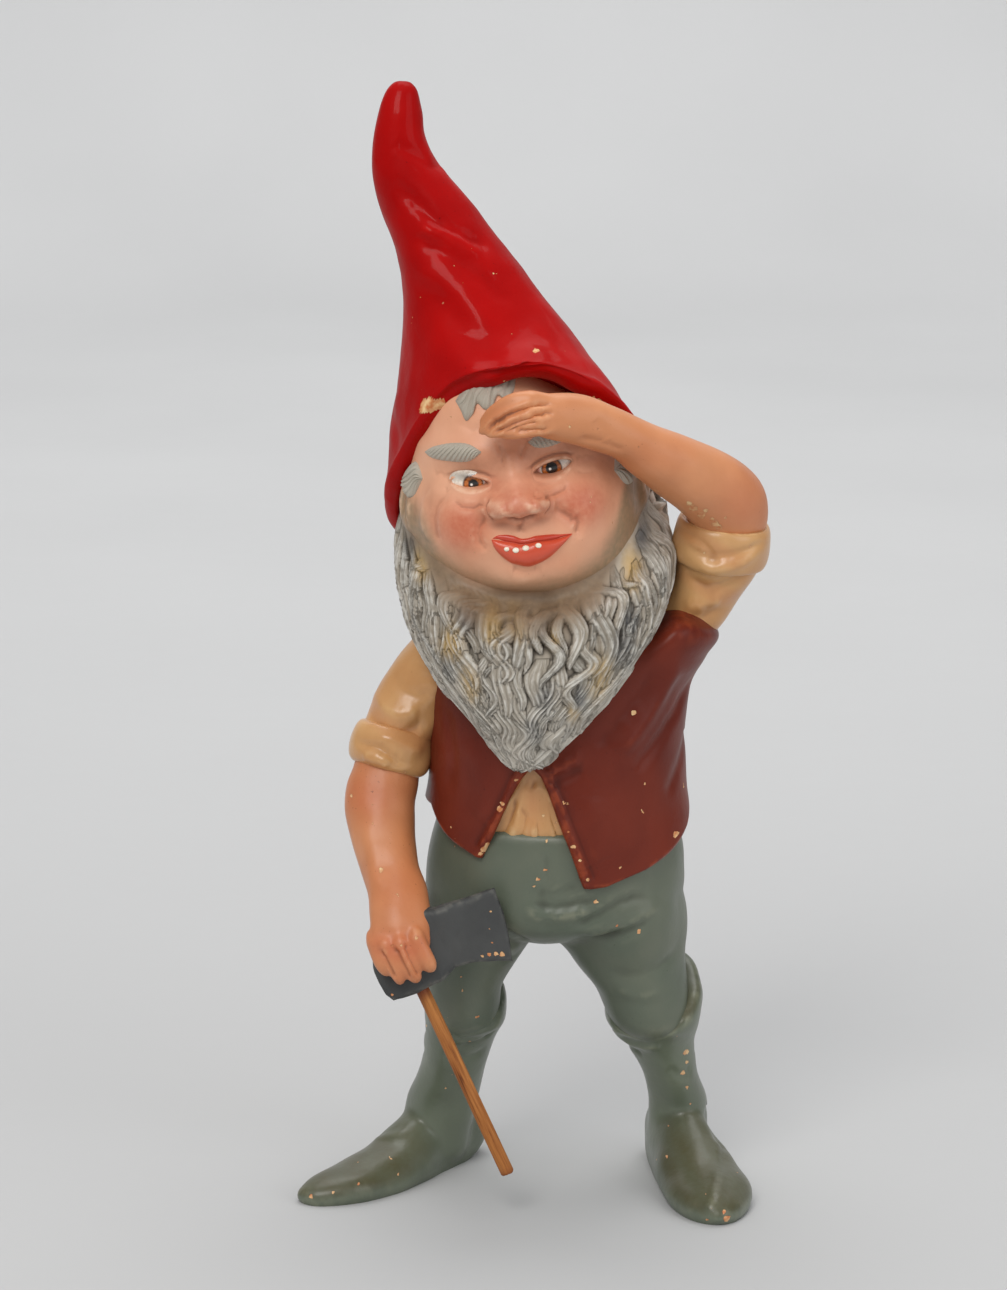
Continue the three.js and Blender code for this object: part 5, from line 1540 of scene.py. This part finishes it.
# The upper rows lie on the cheeks, tucked just under the skin, and grow out into the mass.
blend_rows, tuck_depth = 42, 1.7
for r in range(blend_rows):
    grown = float(smooth_step(np.array(r / blend_rows), 0, 1))
    for c in range(beard_columns):
        under = face_under(beard_grid[r, c])
        if under is not None:
            away = under - [*jaw_middle, under[2]]
            away /= np.linalg.norm(away)
            tuck = away * tuck_depth * (1 - grown) ** 5
            beard_grid[r, c] = under * (1 - grown) + beard_grid[r, c] * grown - tuck
beard_out = grid_normals(beard_grid, (-2, -8, 215))
lock_widths, lock_height = (2.2, 5.4), 2.5
row_pitch, lock_pitch = 11.5, 6.4
stand, strand, along, tone = dragged_locks(
    beard_grid, 71, (18, 38), lock_widths, lock_height, 10, row_pitch, lock_pitch
)
ramp = smooth_step(np.arange(beard_rows), 12, 44)[:, None]
beard_outside = beard_grid + beard_out * ((stand - ramp) * ramp)[:, :, None]
beard = Cast(shell("beard_cast", beard_outside, beard_grid - beard_out * beard_thickness))
beard.hollows(16, 0.5)
lock_marks(beard, strand, along, tone)
ochre_dabs = [
    (-15.5, 218.7, 5.5), (-7.5, 219.5, 5), (-29.8, 210.5, 6), (-23.5, 197.6, 5.5), (21.2, 199.9, 6.5),
    (32.5, 235, 6), (-41.2, 236, 5), (5, 215, 3.5), (12, 188, 4),
]
ink_dabs = [
    (-24.6, 222, 6), (3, 223, 5.5), (29.8, 209, 6.5), (2, 192.9, 5.5), (-1.7, 182, 5),
    (-31, 201.7, 4), (-44.6, 240, 4.5), (36, 243, 4.5), (32, 218, 5), (14, 193, 4),
]
beard.mark("ochre", brushed_spots(beard, ochre_dabs, 1))
beard.mark("ink", brushed_spots(beard, ink_dabs, 2))
x, y, z = beard.points.T
under = np.interp(x, hairline_x, hairline_z) - z
beard.mark("airbrush", np.where(y < 4, 1 - smooth_step(under, 4.0, 18.0), 0.0))
beard.mark("fade", np.where(y < 4, smooth_step(under, -12.0, 2.5), 1))

hair = Recipe("beard_grey", Specular_IOR_Level=0.4)
hollow = hair.value("hollow")
down_lock = hair.combine("MULTIPLY", hair.value("along"), 0.12)
lock_place = hair.add("CombineXYZ", {"X": hair.value("strand"), "Y": down_lock}).outputs[0]
bristle_noise = {"Vector": lock_place, "Scale": 2.2, "Detail": 4.0, "Roughness": 0.6}
bristle = hair.add("TexNoise", bristle_noise).outputs["Fac"]
broken = hair.grain(330, 4)
smudge = hair.grain(60, 3)
no_mist = hair.span(hair.value("airbrush"), 0.9, 0.2)
bristle = hair.add("Mix", {0: no_mist, 2: 0.5, 3: bristle}, data_type="FLOAT").outputs[0]
coat = hair.mix(hair.span(smudge, 0.38, 0.62), shade_of(179, 168, 152), shade_of(163, 151, 134))
coat = hair.mix(hair.span(hair.value("tone"), 0.55, 0.9, 0.0, 0.5), coat, shade_of(128, 124, 116))
dab = hair.span(hair.combine("ADD", bristle, smudge), 0.8, 1.15, 0.35, 1.0)
coat = hair.mix(hair.combine("MULTIPLY", hair.value("ochre"), dab), coat, shade_of(198, 162, 96))
coat = hair.mix(hair.combine("MULTIPLY", hair.value("ink"), dab), coat, shade_of(74, 76, 80))
coat = hair.mix(hair.span(bristle, 0.46, 0.3, 0.0, 0.45), coat, shade_of(92, 80, 64))
# Painted shade: dark brown in the hollows between the locks.
coat = hair.mix(hair.span(hollow, 0.56, 0.95, 0.0, 0.85), coat, shade_of(72, 60, 46))
skipping = hair.span(hair.combine("ADD", broken, bristle), 0.84, 1.1, 0.1, 1.0)
dry = hair.combine("MULTIPLY", hair.span(hollow, 0.56, 0.3), skipping)
dry = hair.combine("MULTIPLY", dry, no_mist)
coat = hair.mix(hair.combine("MULTIPLY", dry, 0.85), coat, shade_of(226, 222, 213))
# Painted light: the beard is paler towards its foot, whose surfaces face down and get less light.
height = hair.add("SeparateXYZ", {0: hair.place}).outputs["Z"]
coat = hair.mix(hair.span(height, 215 * mm, 172 * mm, 0.0, 0.34), coat, shade_of(232, 228, 218))
mist = hair.mix(hair.span(hair.grain(420, 3), 0.3, 0.7), shade_of(132, 105, 76), shade_of(114, 88, 61))
coat = hair.mix(hair.combine("MULTIPLY", hair.value("airbrush"), 0.8), coat, mist)
skin_tone = hair.mix(hair.span(hair.grain(32, 3), 0.36, 0.64), shade_of(232, 176, 142), shade_of(224, 160, 124))
coat = hair.mix(hair.value("fade"), skin_tone, coat)
relief = hair.bump(bristle, 0.0011)
relief = hair.bump(hair.grain(620, 3), 0.00012, relief)
beard_grey = hair.done(coat, hair.span(broken, 0.3, 0.7, 0.42, 0.62), relief)
beard.finish(beard_grey, "hair_grey", "beard")

back_grid = hair_mass(14, 166, 200, 16)[: 16 * 4 + 6]
back_out = grid_normals(back_grid, (-2, -8, 230))
stand, strand, along, tone = dragged_locks(
    back_grid, 72, (18, 36), lock_widths, lock_height, 0, row_pitch, lock_pitch
)
back_outside = back_grid + back_out * (stand - 1.3)[:, :, None]
back_hair = Cast(shell("back_hair_cast", back_outside, back_grid - back_out * beard_thickness))
back_hair.hollows(12, 0.55)
lock_marks(back_hair, strand, along, tone)
for name in ("ochre", "ink"):
    shifted = 40 * (name == "ink")
    wave = np.sin(back_hair.points[:, 0] * 0.16 + shifted) * np.sin(back_hair.points[:, 2] * 0.2 + shifted)
    back_hair.mark(name, smooth_step(wave, 0.55, 0.9))
back_hair.mark("airbrush", np.zeros(len(back_hair.points)))
back_hair.mark("fade", np.ones(len(back_hair.points)))
back_hair.finish(beard_grey, "hair_grey", "back_hair")

# ---- Hat ---------------------------------------------------------------------------------------------------
# A tall pointed hat, cast hollow and luted down over the head. It bends back on itself below the tip, with
# folds pulled across the bend, and ends in a thick rolled brim. Two coats of glossy red enamel.

hat_rows = [
    (-8, -3, 278, 32, 30, 20, 6, 6),
    (-7.6, -3, 266, 38, 33, 26, 10, 6.4),
    (-7.2, -3, 257, 41, 34.6, 30.8, 11.6, 7),
    (-7, -3, 254.6, 42.6, 36, 31.5, 13, 7.2),
    (-7, -3, 254.8, 44.6, 38, 31.5, 13.6, 7.2),
    (-7, -3, 257, 46.8, 40.8, 31.3, 14.6, 7.2),
    (-7.3, -3, 260.4, 47.6, 42.4, 30.4, 15.2, 7),
    (-7.8, -3, 264.6, 46.2, 41.8, 28.6, 13.8, 6.6),
    (-9.2, -3, 271, 43.6, 39.8, 25.6, 10.8, 5.8),
    (-11.8, -2.6, 286.5, 38.9, 35.8, 17, 7, 4.4),
    (-16.2, -2.1, 305.5, 31.8, 30.2, 9, 2, 1.8),
    (-22.6, -1.7, 325, 24.8, 24, 3.2, 0, 0),
    (-30, -0.8, 341.5, 20, 19.8, 0, 0, 0),
    (-37.6, 0.2, 355, 16.7, 16.2, 0, 0, 0),
    (-45.1, 0.6, 368, 12.6, 12.4, 0, 0, 0),
    (-48.3, 0.6, 379, 9.6, 9.8, 0, 0, 0),
    (-47.9, 0.6, 389.4, 8, 8.1, 0, 0, 0),
    (-47.3, 0.6, 396.2, 5.9, 6, 0, 0, 0),
    (-47, 0.6, 399.4, 3.4, 3.6, 0, 0, 0),
    (-47, 0.6, 400.2, 1.2, 1.3, 0, 0, 0),
]
hat_sides, hat_steps = 300, 15
lining_rows = 4  # the rows that lie inside the brim
clay_to_spare = 2.4
hat = Cast(closed_skin("hat_cast", standing(hat_rows, sides=hat_sides, steps=hat_steps)))
x, y, z = hat.points.T
brim_lift = 4.4 * np.exp(-(((x + 31) / 13) ** 2)) + 1.6 * np.exp(-(((x + 6) / 16) ** 2))
hat.points[:, 2] += brim_lift * smooth_step(-y, 8, 22) * smooth_step(320 - z, 0, 24)
# At the back the cap lies over the crown and the hair with a little clay to spare.
crowns = [skin, BVHTree.FromObject(back_hair.made, bpy.context.evaluated_depsgraph_get())]
outer_side = np.arange(len(hat.points)) > lining_rows * hat_steps * hat_sides
for n in np.flatnonzero(outer_side & (y > 0) & (z > 240) & (z < 330)):
    middle = np.array([-8 - 0.12 * (z[n] - 260), -3, z[n]])
    away = hat.points[n] - middle
    radius = np.linalg.norm(away)
    away /= radius
    for crown in crowns:
        hit = crown.ray_cast(Vector((middle + away * 80 + axis_foot) * mm), Vector(-away))[0]
        if hit is not None:
            under = float((np.array(hit) / mm - axis_foot - middle) @ away)
            radius = max(radius, under + clay_to_spare)
    hat.points[n] = middle + away * radius
hat.relax(14, 0.5)
hat.folds([
    ([(-52, 366), (-44, 361), (-34, 353), (-22, 347), (-15, 346)], 3.0, -1.5),
    ([(-44, 352), (-36, 350.6), (-27, 347), (-18, 342)], 2.8, 1.6),
    ([(-46, 346), (-38, 345), (-28, 341), (-17, 333), (-9, 325)], 3.0, -1.2),
    ([(-44, 338), (-34, 334), (-24, 327), (-14, 316)], 3.6, 0.9),
    ([(-44, 330), (-34, 325), (-24, 316), (-12, 302)], 4.0, -0.6),
    ([(-30, 372), (-36, 372), (-44, 378), (-52, 380)], 2.4, -0.9),
    ([(-44, 320), (-30, 312), (-16, 298), (-6, 288)], 5.0, 0.5),
    ([(-38, 306), (-24, 298), (-12, 289)], 4.4, -0.4),
    ([(-20, 314), (-6, 302), (6, 290)], 5.0, -0.6),
    ([(-3, 316), (6, 304), (18, 292)], 4.0, 0.8),
    ([(-54, 300), (-52, 286), (-50, 272)], 4.0, -0.7),
])
hat.folds([
    ([(18, 350), (28, 352), (40, 358), (50, 366)], 2.6, -1.5),
    ([(14, 340), (26, 344), (38, 350), (48, 356)], 2.6, 1.4),
    ([(8, 330), (20, 334), (32, 340), (42, 346)], 2.8, -1.2),
    ([(2, 316), (14, 318), (28, 326)], 3.4, 1.0),
    ([(-12, 300), (6, 302), (24, 312)], 4.0, -0.9),
], azimuth=180)
hat.fold([(-37, 289.4), (-25, 299), (-13.2, 303.6), (7.3, 304.6), (24, 297.6)], 1.8, -0.8, ends=0.1)
hat.uneven(30, 0.5, 81)
hat.uneven(9, 0.1, 82)
hat.relax(2)
hat.hollows(16, 0.45)
hat.chips([
    (-39, 291, 2.4), (-36.4, 291.8, 2.6), (-34, 292.4, 2.0), (-1.2, 310.9, 0.7), (-0.2, 311, 0.5),
    (-26, 329, 0.3), (-12, 300.8, 0.4), (-10.6, 300.5, 0.4), (19, 294.4, 0.6), (21, 293.6, 0.6),
    (-9, 316, 0.3),
])
hat_red = painted_clay(
    "hat_red", (170, 3, 2), (156, 2, 2), (70, 2, 3), (194, 22, 14),
    rough=0.5, specks=0.6, streaks=0.5, Coat_Weight=0.11, Coat_Roughness=0.1, Specular_IOR_Level=0.06,
)
hat.finish(hat_red, "hat_red", "hat")

# ---- Left forearm and hand ---------------------------------------------------------------------------------
# The left arm is bent at the elbow, and its flat hand lies on the brow below the brim, shading the eyes. The
# hand and the forearm are one cast, laid over the hat's brim last. The fingers are parted by scored lines.

left_arm_rows = [
    (65.4, -8.6, 240.5, 12.6, 13.4),
    (66, -9.6, 246, 13.4, 14),
    (66.4, -12, 251.6, 14.2, 14),
    (63.4, -17, 257.4, 13.8, 13.4),
    (56.4, -24, 263.4, 12.6, 12.8),
    (47.6, -31, 269.4, 11.4, 12),
    (38.6, -38, 275.6, 9.8, 10.6),
    (30.6, -43.4, 281.4, 8.2, 9.2),
    (24, -47, 285, 8.4, 8.4),
    (14.6, -51.6, 289, 8.5, 7.4),
    (6, -55, 291, 8.3, 6.4),
    (-1, -56.4, 291.4, 7, 5.2),
    (-6, -56, 289.8, 5, 3.6),
]
visor_fingers = [
    [
        (4, -56.6, 297, 2.4), (-3.4, -58, 297.4, 2.9), (-9.6, -58, 296.4, 2.8),
        (-15.2, -56, 292.6, 2.5), (-18.6, -53.6, 288.8, 2.0), (-19.6, -52.4, 287.2, 1.2),
    ],
    [
        (4, -58, 294.6, 2.6), (-3.4, -60, 294.6, 3.0), (-10, -60, 292.6, 2.9),
        (-15.4, -58, 289.2, 2.5), (-19, -55.6, 286.2, 2.0), (-20, -54.6, 285, 1.2),
    ],
    [
        (4, -59, 291.4, 2.7), (-3.4, -61.2, 291, 3.1), (-9.4, -61, 288.8, 2.9),
        (-14, -59, 286.6, 2.5), (-16.6, -57.4, 285.4, 1.9), (-17.6, -56.6, 284.8, 1.2),
    ],
    [
        (5, -58.6, 288, 2.8), (-1.6, -60.6, 287.8, 3.0), (-7, -60.4, 286.6, 2.8),
        (-11, -58.8, 285.6, 2.3), (-13.4, -57.6, 285.2, 1.4),
    ],
]
skins = [limb(left_arm_rows, (0, 0, 1))] + [finger(rows, (0, 0, 1)) for rows in visor_fingers]
left_arm = Cast(luted("left_forearm_cast", skins, grain=0.55))
left_arm.relax(8)
left_arm.folds([
    ([(-19.6, 286.4), (-15.6, 290.6), (-9.6, 294.6), (-1.6, 297), (5, 297.4)], 0.9, -1.9),
    ([(-17.6, 285.2), (-13.6, 288.6), (-8, 291.6), (-0.6, 293.8), (6, 294.6)], 0.9, -1.9),
    ([(-13, 284.8), (-9.6, 287.4), (-4.4, 289.4), (1.6, 290.6)], 0.9, -1.7),
    ([(-9, 285.4), (-5, 287), (0, 287.6), (5, 287)], 0.9, -1.4),
    ([(14, 283), (22, 280.6), (30, 277.6)], 1.4, -0.6),
    ([(20, 291), (23, 286), (23, 281)], 2.0, -0.5),
], ends=0.2)
for knuckle in [(-2.6, 298.6), (-3.4, 295.4), (-3, 291.8), (-1, 288.4)]:
    left_arm.press(knuckle, (2.6, 1.8), 0.6)
left_arm.press((74, 258), (9, 8), 0.9)
left_arm.uneven(15, 0.22, 91)
left_arm.relax(1)
left_arm.hollows(9, 0.9)
left_arm.mark("blush", left_arm.dabs([
    (0.4, (72, 256), (12, 12)), (0.3, (-10, 291), (9, 6)), (0.2, (40, 276), (16, 8)),
]))
left_arm.chips([
    (53.6, 255.6, 1.4), (52, 257.6, 1.0), (56.6, 252.6, 1.3), (61.6, 249, 1.2), (63, 247.6, 1.0),
    (60.4, 250.8, 0.8), (58, 254.6, 0.8), (50, 253, 0.5), (65, 251.4, 0.5), (20, 287, 0.3),
    (34, 280, 0.3),
])
left_arm.finish(arm_flesh, "flesh", "left_forearm")

# ---- Studio ------------------------------------------------------------------------------------------------
# A pale sweep of paper that runs up behind the figure. A large soft light stands at the front left, a weaker
# one at the right, one overhead and one over the paper, and a long lens looks down from above the hat's height.

paper = Recipe("paper_sweep")
tone = paper.mix(paper.span(paper.grain(3, 2), 0.3, 0.7), shade_of(213, 213, 213), shade_of(208, 208, 208))
# Painted shade: the paper is darker towards the front.
depth = paper.add("SeparateXYZ", {0: paper.place}).outputs["Y"]
tone = paper.mix(paper.span(depth, 2.0, 0.2), tone, shade_of(184, 184, 184))
matt = paper.span(paper.grain(40), 0.3, 0.7, 0.8, 0.9)
paper_sweep = paper.done(tone, matt, paper.bump(paper.grain(500), 0.00002))
# The paper's line from the front to the top, in metres: how far back and how high
profile = [(-3, 0.0), (2.0, 0.0), (2.3, 0.03), (2.5, 0.14), (2.62, 0.34), (2.66, 0.7), (2.66, 2.4)]
paper_half, below_soles = 3, 0.0004
sweep_points = [(x, y, z - below_soles) for y, z in profile for x in (-paper_half, paper_half)]
sweep_faces = [(2 * k, 2 * k + 1, 2 * k + 3, 2 * k + 2) for k in range(len(profile) - 1)]
sweep_mesh = bpy.data.meshes.new("paper_sweep")
sweep_mesh.from_pydata(sweep_points, [], sweep_faces)
sweep = bpy.data.objects.new("paper_sweep", sweep_mesh)
bpy.context.scene.collection.objects.link(sweep)
select_only(sweep)
curve = sweep.modifiers.new("curve", "SUBSURF")
curve.levels = curve.render_levels = 3
bpy.ops.object.modifier_apply(modifier="curve")
bpy.ops.object.shade_smooth()
sweep.data.materials.append(paper_sweep)


def soft_light(name, place, aim, size, power, colour=(1, 1, 1)):
    lamp = bpy.data.lights.new(name, "AREA")
    lamp.shape = "RECTANGLE"
    lamp.size, lamp.size_y = size
    lamp.energy = power
    lamp.color = colour
    made = bpy.data.objects.new(name, lamp)
    made.location = place
    made.rotation_euler = (Vector(aim) - Vector(place)).to_track_quat("-Z", "Y").to_euler()
    bpy.context.scene.collection.objects.link(made)


soft_light("key_light", (-0.5, -1.25, 1.5), (0, 0, 0.2), (0.8, 0.8), 14, (1.0, 0.985, 0.96))
soft_light("fill_light", (1.4, -1.0, 0.9), (0, 0, 0.2), (1.2, 1.2), 6, (0.96, 0.98, 1.0))
soft_light("top_light", (0.1, 0.5, 1.8), (0, 0, 0.2), (1.4, 1.0), 12)
soft_light("paper_light", (0, 1.5, 1.5), (0, 2.0, 0), (2.6, 1.0), 7)
# The room is dark in front of the figure, so only the lamps and the paper show in the gloss.
world = bpy.data.worlds.new("studio")
bpy.context.scene.world = world
bpy.context.scene.view_settings.view_transform = "Standard"
world.use_nodes = True
room = world.node_tree.nodes
mirror = room.new("ShaderNodeLightPath")
strength = room.new("ShaderNodeMapRange")
strength.inputs["To Min"].default_value = 0.74
strength.inputs["To Max"].default_value = 0.1
world.node_tree.links.new(mirror.outputs["Is Glossy Ray"], strength.inputs["Value"])
world.node_tree.links.new(strength.outputs[0], room["Background"].inputs["Strength"])
room["Background"].inputs["Color"].default_value = (0.94, 0.95, 0.96, 1)

camera_height = 0.52
camera_back = 1.5
camera_aside = -0.012
aim_below = 0.32  # how far the camera looks down by the time it reaches the figure
camera_data = bpy.data.cameras.new("camera")
camera_data.lens = 120.2
camera_data.sensor_width = 36
camera = bpy.data.objects.new("camera", camera_data)
camera.location = (camera_aside + axis_foot[0] * mm, -camera_back + axis_foot[1] * mm, camera_height)
camera.rotation_euler = (math.pi / 2 - math.atan2(aim_below, camera_back), 0, 0)
bpy.context.scene.collection.objects.link(camera)
bpy.context.scene.camera = camera
